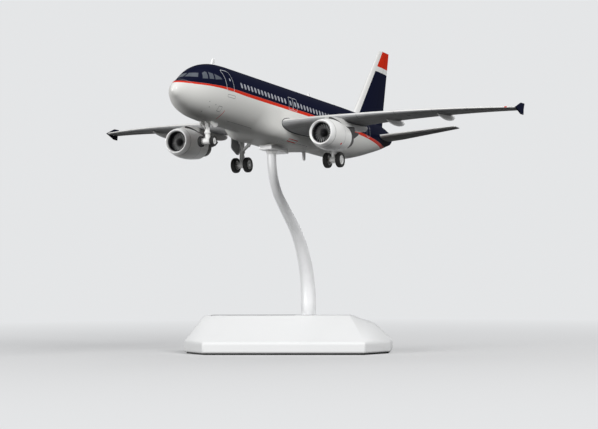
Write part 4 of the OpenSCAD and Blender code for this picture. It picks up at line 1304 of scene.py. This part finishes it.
spinner_dark = (0.018, 0.018, 0.02, 1)
spinner_pale = (0.035, 0.035, 0.037, 1)
spinner_paint = paint("spinner_dark", specular_ior_level=0.1)
place = on_aircraft(spinner_paint)[0]
grain = noise(place, 5)
wire(
    spinner_paint,
    base_color=colour(grain, spinner_dark, spinner_pale),
    roughness=0.35 + grain * 0.15,
    normal=bump(grain, 0.01),
)

# %% One blade on its twisted surface
fan_blades = 22
blade_t = 0.08
blade_root = hub_r - 0.15
blade_tip = duct_r - 0.17
root_pitch = 28
tip_pitch = 56
root_width = 0.62
blade_sweep = 0.1


def blade_point(out, across):
    """A point of the blade: out from root 0 to tip 1, across from leading -1 to trailing edge 1."""
    radius = mix(blade_root, blade_tip, out)
    pitch = math.radians(mix(root_pitch, tip_pitch, out))
    longest = fan_len / 2 / math.cos(pitch)
    width = min(mix(root_width, 1, ease(out)) * longest, longest - blade_t)
    swing = blade_sweep * math.sin(math.pi * out) + across * width * math.sin(pitch) / radius
    behind = fan_depth + fan_len / 2 + across * width * math.cos(pitch)
    on_hub = Vector((-behind, radius * math.sin(swing), radius * math.cos(swing)))
    return Vector(engine_at) + on_hub


bpy.ops.object.select_all(action="DESELECT")
bpy.ops.mesh.primitive_grid_add(x_subdivisions=10, y_subdivisions=5, size=2)
blade = bpy.context.object
for corner in blade.data.vertices:
    corner.co = blade_point(corner.co.x / 2 + 0.5, corner.co.y)
thickness = blade.modifiers.new("thickness", "SOLIDIFY")
thickness.thickness = blade_t
thickness.offset = 0
bpy.ops.object.modifier_apply(modifier=thickness.name)
bpy.ops.object.mode_set(mode="EDIT")
close(blade, angle=50)
print("Faces of one blade:", len(blade.data.polygons))

# %% The blades round the hub
blades = [blade]
spot = Matrix.Translation(engine_at)
for k in range(1, fan_blades):
    turn = Matrix.Rotation(2 * math.pi * k / fan_blades, 4, "X")
    blades.append(copied(blade, "blade", spot @ turn @ spot.inverted()))
dress_pair(joined("fan", blades), blade_paint, "fans", "fan", body="{}_fan")

# %% Hub with its pointed spinner
fan_end = fan_depth + fan_len
bore_end = fan_depth + 0.15
bore_r = 0.55
# Distance ahead of the fan's face, then the radius
spinner_form = [(1.7, 0), (1.6, 0.14), (1.3, 0.42), (0.8, 0.74), (0.3, 0.96), (-0.1, hub_r)]
spinner_line = [(fan_depth - ahead, r) for ahead, r in spinner_form]
spinner_line += [(fan_end, hub_r), (fan_end, bore_r), (bore_end, bore_r), (bore_end, 0)]
spinner = spun("spinner", spinner_line, engine_at, axis=aft, steps=48)
dress_pair(spinner, spinner_paint, "fans", "spinner", body="{}_fan", nodes=False)

# %% [markdown]
# ## The pylons
# A pylon is a flat casting between cowl and wing. Its outline follows the cowl's back, the
# wing's underside and a long aft fairing, and a painted shadow lies as a dark line where it meets the
# cowl.
# A shield of dark metal lies under its aft part, over the hot nozzle.

# %% Pylon paint
pylon_grey = (0.72, 0.72, 0.7, 1)
gap_shadow_black = (0.03, 0.03, 0.03, 1)
pylon_paint = paint("pylon_enamel", specular_ior_level=0.4)
place, station, port, level = on_aircraft(pylon_paint)
behind_widest = station - engine_station - 7.4
cowl_back = engine_level + cowl_r - behind_widest * behind_widest * 0.012
# Painted shadow: the pylon turns dark just over the cowl's back, where the gap lies in shade
gap_shade = above(cowl_back + 0.7 - level, 0) * between(station, 61, 74)
enamel(pylon_paint, place, colour(gap_shade, pylon_grey, gap_shadow_black), gap_shade)

# %% Pylons
pylon_front = engine_station + 4.2
pylon_end = 93
pylon_t = 1.5
cowl_end = engine_station + cowl_len
wing_front = leading_edge(engine_y) + 0.8


def cowl_top(s):
    """Level of the cowl's back at a station, with a hair's gap."""
    return engine_level + cowl_radius(s - engine_station) + 0.06


nose_rise = [(0, 0), (1.2, 0.35), (2.5, 0.7), (6, 1.25)]
upper_line = [(pylon_front + x, cowl_top(pylon_front + x) + rise) for x, rise in nose_rise]
for k in range(9):
    s = mix(wing_front, pylon_end, k / 8)
    upper_line.append((s, underside(s, engine_y) - 0.12))
lower_line = [
    (94.3, -4.1), (94.9, -4.6), (94.6, -5.2), (93.6, -5.8), (92.2, -6.2), (90.4, -6.6),
    (88.6, -6.8), (86, -6.9), (83, -7), (engine_station + engine_len, engine_level + taper + 0.9),
    (cowl_end + 2, engine_level + core_r + 0.1), (cowl_end + 0.1, engine_level + core_r + 0.1),
    (cowl_end + 0.1, cowl_top(cowl_end) + 0.03),
]
for k in range(5, 0, -1):
    s = mix(pylon_front, cowl_end, k / 6)
    lower_line.append((s, cowl_top(s)))
pylon_points = [(-s, engine_y - pylon_t / 2, z) for s, z in upper_line + lower_line]
pylon = plate("pylon", pylon_points, (0, pylon_t, 0), width=0.3)
dress_pair(pylon, pylon_paint, "pylons", "pylon")

# %% Heat shields under the pylons
shield_t = 1.8
shield_line = [(72, -6.4), (76.9, -6.4), (80, -6), (82.9, -5.8), (83.4, -7.5), (87.3, -7.4),
               (86, -8.6), (83, -10), (80, -10.6), (77, -10.6), (72, -9.2)]
shield_points = [(-s, engine_y - shield_t / 2, z) for s, z in shield_line]
shield = plate("shield", shield_points, (0, shield_t, 0), width=0.3)
dress_pair(shield, core_paint, "pylons", "heat_shield", nodes=False)

# %% [markdown]
# ## The undercarriage
# Wheels, legs and doors are tiny, so their forms stay plain: turned rims, tyres with a rounded
# shoulder, struts with a collar and a scissor link. Each wheel pair rides on its own body. Small
# fittings have plain enamel, rubber or bare steel, each with a fine grain and a change of tone.

# %% Finishes of the undercarriage
gear_paint = plain_finish("gear_enamel", (0.74, 0.74, 0.73), (0.84, 0.84, 0.82), scale=4,
                          spread=0.15, depth=0.01)
hub_paint = plain_finish("hub_enamel", (0.7, 0.7, 0.69), (0.8, 0.8, 0.79), scale=5,
                         spread=0.15, depth=0.008)
door_grey = plain_finish("door_grey", (0.4, 0.41, 0.41), (0.46, 0.47, 0.47), scale=3)
rubber = plain_finish("tyre_rubber", (0.012,) * 3, (0.024,) * 3, scale=6, rough=0.5,
                      spread=0.25, depth=0.02, specular_ior_level=0.2)
steel = plain_finish("bright_steel", (0.5,) * 3, (0.6,) * 3, scale=6, rough=0.22,
                     spread=0.15, depth=0.004, metallic=1)

# %% Profiles of wheels
# Share of the width from the middle, then share of the radius
tyre_form = [(0.05, 0.975), (0.07, 1), (0.16, 1), (0.32, 0.985), (0.44, 0.93), (0.5, 0.84),
             (0.47, 0.72), (0.42, 0.6)]
hub_form = [(-0.05, 0.54), (-0.4, 0.54), (-0.4, 0.59), (0.4, 0.59), (0.4, 0.54), (0.3, 0.5),
            (0.24, 0.36), (0.28, 0.3), (0.44, 0.27), (0.46, 0.22)]
hub_bore = 0.44
axle_r = 0.4
across_way = (0, 1, 0)
print("Points of a tyre profile:", 2 * len(tyre_form))


def both_ways(half):
    """A profile and its mirror image; the half is given from the middle outwards."""
    return [(-a, r) for a, r in reversed(half)] + half


def hub_line(r, w):
    """A hub: its rim, its recessed face and its boss, round the bore for the axle."""
    face = [(w * a, r * b) for a, b in hub_form]
    return [(face[0][0], hub_bore)] + face + [(face[-1][0], hub_bore)]


def wheel_pair(name, profile, middle, gap, steps):
    """Two wheels on one axle, the outer face of each turned away from the strut."""
    pair = []
    for way in (1, -1):
        centre = (middle[0], middle[1] + way * gap, middle[2])
        pair.append(spun(name, profile, centre, axis=(0, way, 0), steps=steps))
    return joined(name, pair)


def rolling_set(middle, r, w, gap, tyre_steps, hub_steps):
    """Makes axle, tyres and hubs of a wheel pair in turn, each with its kind, finish and slot."""
    end = gap + w * 0.44
    rod = both_ways([(end - 0.06, axle_r), (end, axle_r - 0.04), (end, 0)])
    tyre = both_ways([(w * a, r * b) for a, b in tyre_form])
    yield "axle", steel, "axles", spun("axle", rod, middle, axis=across_way, steps=32)
    yield "tyres", rubber, "tyres", wheel_pair("tyres", tyre, middle, gap, tyre_steps)
    hub = hub_line(r, w)
    yield "hubs", hub_paint, "hubs", wheel_pair("hubs", hub, middle, gap, hub_steps)


# %% Struts and stays
def strut(name, s, y, top, axle_level, r, tube):
    """A leg: outer tube, collar, slider, axle tube and scissor link."""
    foot = (-s, y, axle_level)
    height = top - axle_level
    collar = 0.42 * height
    leg = [(-0.8, 0), (-0.8, r * 0.9), (collar, r * 0.9), (collar, r * 1.25),
           (collar + 0.7 * r, r * 1.25), (collar + 0.8 * r, r), (height + 0.5, r), (height + 0.5, 0)]
    rim = 1.35 * r
    tube_line = both_ways([(tube - 0.3, 0.9 * rim), (tube - 0.25, rim), (tube, rim), (tube, 0.47)])
    high = mix(axle_level, top, 0.48)
    mid = (axle_level + high) / 2
    near = -s - 0.4 * r
    knee = -s - max(2.1 * r, 2)
    link = [(near, high + 0.4), (knee, mid + 0.35), (knee - 0.1, mid - 0.3), (near, axle_level + 0.5),
            (near, axle_level + 1.2), (knee + 0.7, mid), (near, high - 0.5)]
    link_points = [(x, y - 0.35 * r, z) for x, z in link]
    return [
        spun(name, leg, foot, axis=up, steps=32),
        spun(name, tube_line, foot, axis=across_way, steps=32),
        plate(name, link_points, (0, 0.7 * r, 0), width=0.05),
    ]


def brace(name, start, end, r):
    """A stay between two points: a thin rod with a thicker middle joint."""
    way = Vector(end) - Vector(start)
    span = way.length
    joint_r = r * 1.35
    rod = [(0, 0), (0, r), (0.46 * span, r), (0.47 * span, joint_r), (0.53 * span, joint_r),
           (0.54 * span, r), (span, r), (span, 0)]
    return spun(name, rod, start, axis=way, steps=20)


# %% Nose leg
nose_station = 25.4
nose_axle_level = -16.8
nose_keel = keel_at(nose_station)
stay_station = nose_station - 3.2
nose_parts = strut("nose_leg_look", nose_station, 0, nose_keel, nose_axle_level, r=0.85, tube=1.25)
for way in (-1, 1):
    foot = (-stay_station, way * 0.9, keel_at(stay_station) - 0.12)
    knee = (-nose_station, way * 0.25, mix(nose_axle_level, nose_keel, 0.55))
    nose_parts.append(brace("nose_leg_look", foot, knee, r=0.26))
dress(joined("nose_leg_look", nose_parts), on_stand, gear_paint, "airframe", "legs", "nose_leg")

# %% Nose doors, rounded below, and nose wheels
nose_door_station = 26.3
nose_door_level = -10.4
door_t = 0.4
door_y = 2.1
nose_door_line = [(-28.6, -8.4), (-24, -8.4)]
for k in range(13):
    turn = math.pi * k / 12
    x = -nose_door_station + 2.5 * math.cos(turn)
    nose_door_line.append((x, nose_door_level - 1.5 * math.sin(turn)))
nose_doors = []
for way in (-1, 1):
    points = [(x, way * door_y - door_t / 2, z) for x, z in nose_door_line]
    nose_doors.append(plate("nose_doors_look", points, (0, door_t, 0), width=0.1))
nose_doors = joined("nose_doors_look", nose_doors)
dress(nose_doors, on_stand, pale_plain, "airframe", "gear_doors", "nose_doors")
nose_middle = (-nose_station, 0, nose_axle_level)
nose_set = rolling_set(nose_middle, r=1.9, w=1.3, gap=2.35, tyre_steps=64, hub_steps=48)
for kind, finish, slot, piece in nose_set:
    piece.name = "nose_" + kind + "_look"
    dress(piece, on_stand, finish, "nose_wheels", slot, "nose_" + kind)

# %% Main legs with a side stay and a drag stay
main_station = wing_station + 26
main_y = 18.95
main_axle_level = -16.6
main_leg_r = 0.95
side_reach = 5.2
drag_reach = 3.4
main_top = underside(main_station, main_y)
main_parts = strut("leg", main_station, main_y, main_top, main_axle_level, main_leg_r, tube=1.3)
side_knee = (-main_station, main_y - 0.3, mix(main_axle_level, main_top, 0.5))
side_y = main_y - side_reach
side_top = (-main_station, side_y, underside(main_station, side_y) - 0.2)
drag_knee = (-main_station, main_y, mix(main_axle_level, main_top, 0.56))
drag_s = main_station - drag_reach
drag_top = (-drag_s, main_y, underside(drag_s, main_y) - 0.2)
main_parts.append(brace("leg", side_knee, side_top, r=0.6))
main_parts.append(brace("leg", drag_knee, drag_top, r=0.4))
dress_pair(joined("leg", main_parts), gear_paint, "legs", "leg")

# %% Main gear doors and main wheels
main_door_t = 0.5
main_door_y = main_y + main_leg_r + 0.65
door_front = 83
door_back = 90.6
main_door_line = [
    (door_front, underside(door_front, main_door_y) - 0.1), (door_front, -10.5), (83.8, -11.2),
    (87.4, -12.7), (88.6, -12.7), (89.8, -11), (90.4, -8.5),
    (door_back, underside(door_back, main_door_y) - 0.1),
]
door_points = [(-s, main_door_y - main_door_t / 2, z) for s, z in main_door_line]
door = plate("door", door_points, (0, main_door_t, 0), width=0.1)
dress_pair(door, door_grey, "gear_doors", "door")
main_middle = (-main_station, main_y, main_axle_level)
main_set = rolling_set(main_middle, r=2.85, w=1.9, gap=2.5, tyre_steps=72, hub_steps=56)
for kind, finish, slot, piece in main_set:
    dress_pair(piece, finish, slot, kind, body="{}_wheels")

# %% [markdown]
# ## Aerials
# The three aerials on the crown and the one under the belly are thin swept blades. Each is an
# outline given a thickness, with rounded edges.

# %% Blade aerials
aerial_t = 0.8
aerial_h = 2.5
aerial_sink = 0.05
belly_station = 102.5
aerial_white = plain_finish("aerial_white", (0.92, 0.92, 0.91), (0.95, 0.95, 0.94), scale=4,
                            depth=0.004)
# Distance ahead of the blade's middle, then share of its height
aerial_line = [(1.1, 0), (0.75, 0.4), (0.4, 0.8), (0.2, 0.95), (0, 1), (-0.7, 1), (-0.9, 0.9),
               (-1, 0.75), (-1.1, 0)]


def aerial(name, s, root, height, node):
    """A swept blade on the crown, or under the belly where its height is negative."""
    points = [(-s + x, -aerial_t / 2, root + share * height) for x, share in aerial_line]
    piece = plate(name, points, (0, aerial_t, 0), width=0.25)
    dress(piece, on_stand, aerial_white, "airframe", "aerials", node)


for kind, s, share in (("front", 28.5, 1), ("rear", 106.4, 0.75), ("aft", 128.5, 0.35)):
    node = kind + "_aerial"
    aerial(node + "_look", s, crown_at(s) - aerial_sink, aerial_h * share, node)
belly = mix(keel_at(belly_station), -fairing_d, swell(belly_station))
aerial("belly_aerial_look", belly_station, belly + aerial_sink, -3.2, "belly_aerial_blade")

# %% [markdown]
# ## The stand head
# The head is a flat white pad with soft edges, tilted with the aircraft, over a small upright
# collar that grips the post. The pad is a box with bevelled edges, and the collar is spun.

# %% Pad and collar
pad_ahead = 5
pad_behind = 9
pad_w = 5
pad_t = 1.6
post_r = 2.85
post_top_r = 1.65
collar_foot = pad_z - pad_t - 1
collar_top = 1 + 0.6 * pad_t
collar_r = pad_w / 2 - 0.3
head_white = plain_finish("head_white", (0.89, 0.89, 0.88), (0.93, 0.93, 0.92), scale=2,
                          spread=0.12, depth=0.01, coat_weight=0.3)


def slab(name, low, high):
    """A box between two corners, made from the outline of its floor."""
    corners = ((low[0], low[1]), (high[0], low[1]), (high[0], high[1]), (low[0], high[1]))
    floor_line = [(x, y, low[2]) for x, y in corners]
    return plate(name, floor_line, (0, 0, high[2] - low[2]), width=0.14)


pad = slab("pad", (-pad_behind, -pad_w / 2, -pad_t), (pad_ahead, pad_w / 2, 0))
pad.data.transform(on_pad)
collar_line = [
    (0, post_top_r - 0.2), (0, post_top_r + 0.2), (0.15, post_top_r + 0.3),
    (0.6, post_top_r + 0.4), (1.4, collar_r), (collar_top, collar_r), (collar_top, 0),
    (0.9, 0), (0.9, post_top_r - 0.2),
]
collar = spun("collar", collar_line, (post_reach, 0, collar_foot), axis=up, steps=48)
dress(joined("stand_head_look", [pad, collar]), mm, head_white, "post", "stand_head", "stand_head")

# %% [markdown]
# ## The post
# The post leaves the base upright, bends forward, runs straight, and bends back to upright under
# the pad, while it tapers. Its bend angle is found by halving, so that it meets the pad's reach.
# Round sections are then carried along that path and extruded from one to the next. Its satin
# metal is finely brushed along the height, so the grain is a noise that is stretched that way.

# %% Brushed metal
def brushed(name, tone, stretch, turn, rough, metallic):
    """Metal with fine marks along one direction, and a slow cloud in its tone."""
    made = paint(name, metallic=metallic, specular_ior_level=0.2)
    place = place_in(made, turn=turn)[0]
    stretched = place.node("ShaderNodeVectorMath", {"operation": "MULTIPLY"}, {0: place, 1: stretch})
    marks = noise(stretched, 3, 4)
    cloud = noise(place, 0.15)
    dark = tuple(0.88 * v for v in tone) + (1,)
    return wire(
        made,
        base_color=colour(cloud, dark, tone + (1,)),
        roughness=rough + marks * 0.06 + cloud * 0.06,
        normal=bump(marks, 0.001),
    )


post_metal = brushed("post_aluminium", (0.92, 0.925, 0.93), stretch=(1, 1, 0.04),
                     turn=(0, 0, 0), rough=0.36, metallic=0.1)

# %% How far the post bends
base_h = 14.2
bend_low = 39
bend_high = 20.8
post_foot = 4.7
post_head = 1.1
post_low = base_h + 0.1
lift = collar_foot - post_low
bend_lift = lift - post_foot - post_head


def reach_at(angle):
    """How far forward the post gets when both of its bends turn by an angle."""
    run = (bend_lift - (bend_low + bend_high) * math.sin(angle)) / math.cos(angle)
    return (bend_low + bend_high) * (1 - math.cos(angle)) + run * math.sin(angle)


least = math.radians(5)
most = math.radians(60)
for _ in range(30):
    tried = (least + most) / 2
    if reach_at(tried) < post_reach:
        least = tried
    else:
        most = tried
bend = least
print("The post bends by", round(math.degrees(bend), 1), "degrees")

# %% Path and skin of the post
bend_steps = 20
post_around = 48
low_bend = []
high_bend = []
for k in range(bend_steps + 1):
    turn = bend * k / bend_steps
    forward = 1 - math.cos(turn)
    low_bend.append((bend_low * forward, post_low + post_foot + bend_low * math.sin(turn), turn))
    high_bend.append((post_reach - bend_high * forward,
                      collar_foot - post_head - bend_high * math.sin(turn), turn))
path = low_bend + high_bend[::-1] + [(post_reach, collar_foot - 0.05, 0)]


def post_ring(x, z, tilt, grow=0):
    """A round section of the post at a place on its path, tilted as the path is."""
    radius = mix(post_r, post_top_r, ease((z - post_low) / lift * 1.1)) + grow
    ring = []
    for k in range(post_around):
        turn = 2 * math.pi * k / post_around
        across = radius * math.cos(turn)
        ring.append((x + across * math.cos(tilt), radius * math.sin(turn), z - across * math.sin(tilt)))
    return ring


foot_edge = 0.12
post_rings = [post_ring(0, post_low, 0, -foot_edge), post_ring(0, post_low + foot_edge, 0)]
post_rings += [post_ring(*spot) for spot in path]
dress(skin("post_look", post_rings, angle=50), mm, post_metal, "post", "post", "post")

# %% [markdown]
# ## The base
# The moulded base has an upright skirt, four slopes with cut corners, and a ramp at one end. Its
# corners are known points, so the form is their convex hull: a set of points is closed into a
# body, its flat faces are merged, and its edges are rounded more softly than the CAD's.

# %% Corners of the base
base_left = 46.6
base_right = 31.4
base_half = 21
skirt_h = 3.4
top_half = 4.6
end_slope = 7.2
ramp_len = 8.6
ramp_drop = 3.4
corner_x = 8.8
corner_y = 14
sheet_t = 0.6
top_far = -base_left + end_slope
outer_corners = [(-base_left + corner_x, base_half), (-base_left, base_half - corner_y),
                 (base_right - corner_x, base_half), (base_right, base_half - corner_y)]
top_corners = [(top_far + corner_x * 0.62, top_half, base_h), (top_far, top_half * 0.5, base_h),
               (base_right - end_slope - ramp_len, top_half, base_h),
               (base_right - end_slope + 0.6, top_half + 2.5, base_h - ramp_drop)]
base_corners = []
for way in (-1, 1):
    for z in (sheet_t, sheet_t + skirt_h + 0.5):
        base_corners += [(x, way * y, z) for x, y in outer_corners]
    base_corners += [(x, way * y, z) for x, y, z in top_corners]
print("Corners of the base:", len(base_corners))

# %% Hull, flat faces and soft edges
base_white = plain_finish("base_gloss_white", (0.83, 0.84, 0.84), (0.87, 0.875, 0.875), scale=0.6,
                          rough=0.42, spread=0.12, depth=0.015, specular_ior_level=0.35)
base = outline("base_shell_look", base_corners)
bpy.ops.mesh.select_all(action="SELECT")
bpy.ops.mesh.delete(type="ONLY_FACE")
bpy.ops.mesh.select_all(action="SELECT")
bpy.ops.mesh.convex_hull()
bpy.ops.mesh.select_all(action="SELECT")
bpy.ops.mesh.dissolve_limited(angle_limit=math.radians(1))
close(base)
print("Base faces before rounding:", len(base.data.polygons))
bevel(base, width=0.75, segments=5)
dress(base, on_base, base_white, "base", "base_shell", "base_shell")

# %% Bare plate on the base, brushed along its length
plate_len = 32
plate_edge = 1.1
plate_near = -post_r - 2
plate_half = top_half - plate_edge
plate_metal = brushed("plate_aluminium", (0.2, 0.2, 0.205), stretch=(0.06, 1, 1),
                      turn=(0, 0, math.radians(base_turn)), rough=0.3, metallic=0.9)
bare_plate = slab("base_plate_look", (plate_near - plate_len, -plate_half, base_h - 0.5),
                  (plate_near, plate_half, base_h + 0.05))
dress(bare_plate, on_base, plate_metal, "base", "base_plate", "base_plate")

# %% [markdown]
# ## Pieces that keep their CAD form
# The peg, the screw, the weight and the rubber sheet are already the shape of the real
# ones, and most are hidden. They keep their meshes and get a finish of their own.

# %% Finishes of the CAD pieces that stay
cast_iron = plain_finish("cast_weight", (0.1, 0.1, 0.1), (0.17, 0.165, 0.16), scale=1.5, rough=0.55,
                         spread=0.3, depth=0.08, metallic=0.6)
sheet_rubber = plain_finish("sheet_rubber", (0.02,) * 3, (0.035,) * 3, scale=4, rough=0.7,
                            spread=0.2, depth=0.03)
kept = {
    "stand_peg": steel,
    "post_screw": steel,
    "base_weight": cast_iron,
    "base_sheet": sheet_rubber,
}
for name, finish in kept.items():
    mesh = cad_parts[name].data
    mesh.materials.clear()
    mesh.materials.append(finish)
print("Materials:", len(bpy.data.materials))

# %% [markdown]
# ## The studio
# The model stands on a plain pale floor. With growing distance the floor turns into the colour
# of the backdrop, so that no horizon shows. The rays that show a thing see that colour, and those
# that only light the model see a darker one, so the pale room doesn't flatten its shadows.

# %% Floor that fades into the backdrop
backdrop = (0.78, 0.79, 0.8, 1)
floor_seen = (0.8, 0.8, 0.8, 1)
floor_unseen = (0.12, 0.12, 0.12, 1)
black = (0, 0, 0, 1)
fade_middle = 130
fade_width = 560


def seen(tree):
    """1 for the rays that show a thing: from the camera, in a reflection or through glass."""
    rays = tree.nodes.new("ShaderNodeLightPath").outputs
    kinds = ("Is Camera Ray", "Is Glossy Ray", "Is Transmission Ray")
    return either(*[Socket(tree, rays[kind]) for kind in kinds])


floor_paint = paint("studio_floor", roughness=0.8, specular_ior_level=0, emission_strength=1)
in_view = seen(floor_paint.node_tree)
place = place_in(floor_paint)[0]
distance = place.node("ShaderNodeVectorMath", {"operation": "LENGTH"}, {0: place}, 1)
far_off = above(distance, fade_middle, fade_width)
wire(
    floor_paint,
    base_color=colour(far_off, colour(in_view, floor_unseen, floor_seen), black),
    emission_color=colour(far_off * in_view, black, backdrop),
)
bpy.ops.object.select_all(action="DESELECT")
bpy.ops.mesh.primitive_circle_add(vertices=96, radius=8, fill_type="NGON", location=(0, 0, 0))
floor = bpy.context.object
floor.name = "studio_floor"
floor.data.materials.append(floor_paint)

# %% [markdown]
# Large soft lamps give long gentle highlights. One stands to port, one low and ahead to
# starboard for the far side of the body and the post, and a weak one hangs above.

# %% Lamps
def lamp(name, place, size, share):
    """A square soft lamp aimed at the model; the share is how bright it alone makes a white face."""
    data = bpy.data.lights.new(name, "AREA")
    data.size = size
    target = Vector((0, 0, 0.08))
    away = Vector(place) - target
    data.energy = share * math.pi ** 2 * away.length_squared
    made = bpy.data.objects.new(name, data)
    made.location = place
    made.rotation_euler = away.to_track_quat("Z", "Y").to_euler()
    bpy.context.collection.objects.link(made)
    print(name, "shines with", round(data.energy, 1), "watts")


lamp("port_lamp", (0.6, 1.15, 0.85), size=0.6, share=0.78)
lamp("starboard_lamp", (1.15, -0.5, 0.3), size=0.5, share=0.66)
lamp("top_lamp", (-0.3, -0.1, 1.4), size=0.9, share=0.12)

# %% World
sky_unseen = (0.09, 0.09, 0.095, 1)
world = bpy.data.worlds.new("studio")
bpy.context.scene.world = world
world.use_nodes = True
background = world.node_tree.nodes["Background"]
sky = colour(seen(world.node_tree), sky_unseen, backdrop)
world.node_tree.links.new(sky.output, background.inputs["Color"])
background.inputs["Strength"].default_value = 1
print("World nodes:", len(world.node_tree.nodes))

# %% [markdown]
# The camera stands where the photographer's stood: low, close to level, and far enough away that
# the perspective is weak. It is turned from looking straight down, first in its own plane, then
# up to the horizon, then round to the aircraft.

# %% Camera
camera_place = (0.76128, 0.36358, 0.03873)
camera_heading = 115.761
camera_rise = 90.911
camera_roll = -0.258
camera_data = bpy.data.cameras.new("camera")
camera_data.sensor_width = 36
camera_data.lens = 134.45
camera_data.clip_end = 50
camera = bpy.data.objects.new("camera", camera_data)
bpy.context.collection.objects.link(camera)
camera.matrix_world = (
    Matrix.Translation(camera_place)
    @ Matrix.Rotation(math.radians(camera_heading), 4, "Z")
    @ Matrix.Rotation(math.radians(camera_rise), 4, "X")
    @ Matrix.Rotation(math.radians(camera_roll), 4, "Z")
)
scene = bpy.context.scene
scene.camera = camera
scene.view_settings.view_transform = "Standard"
print("Camera distance in m:", round(Vector(camera_place).length, 3))
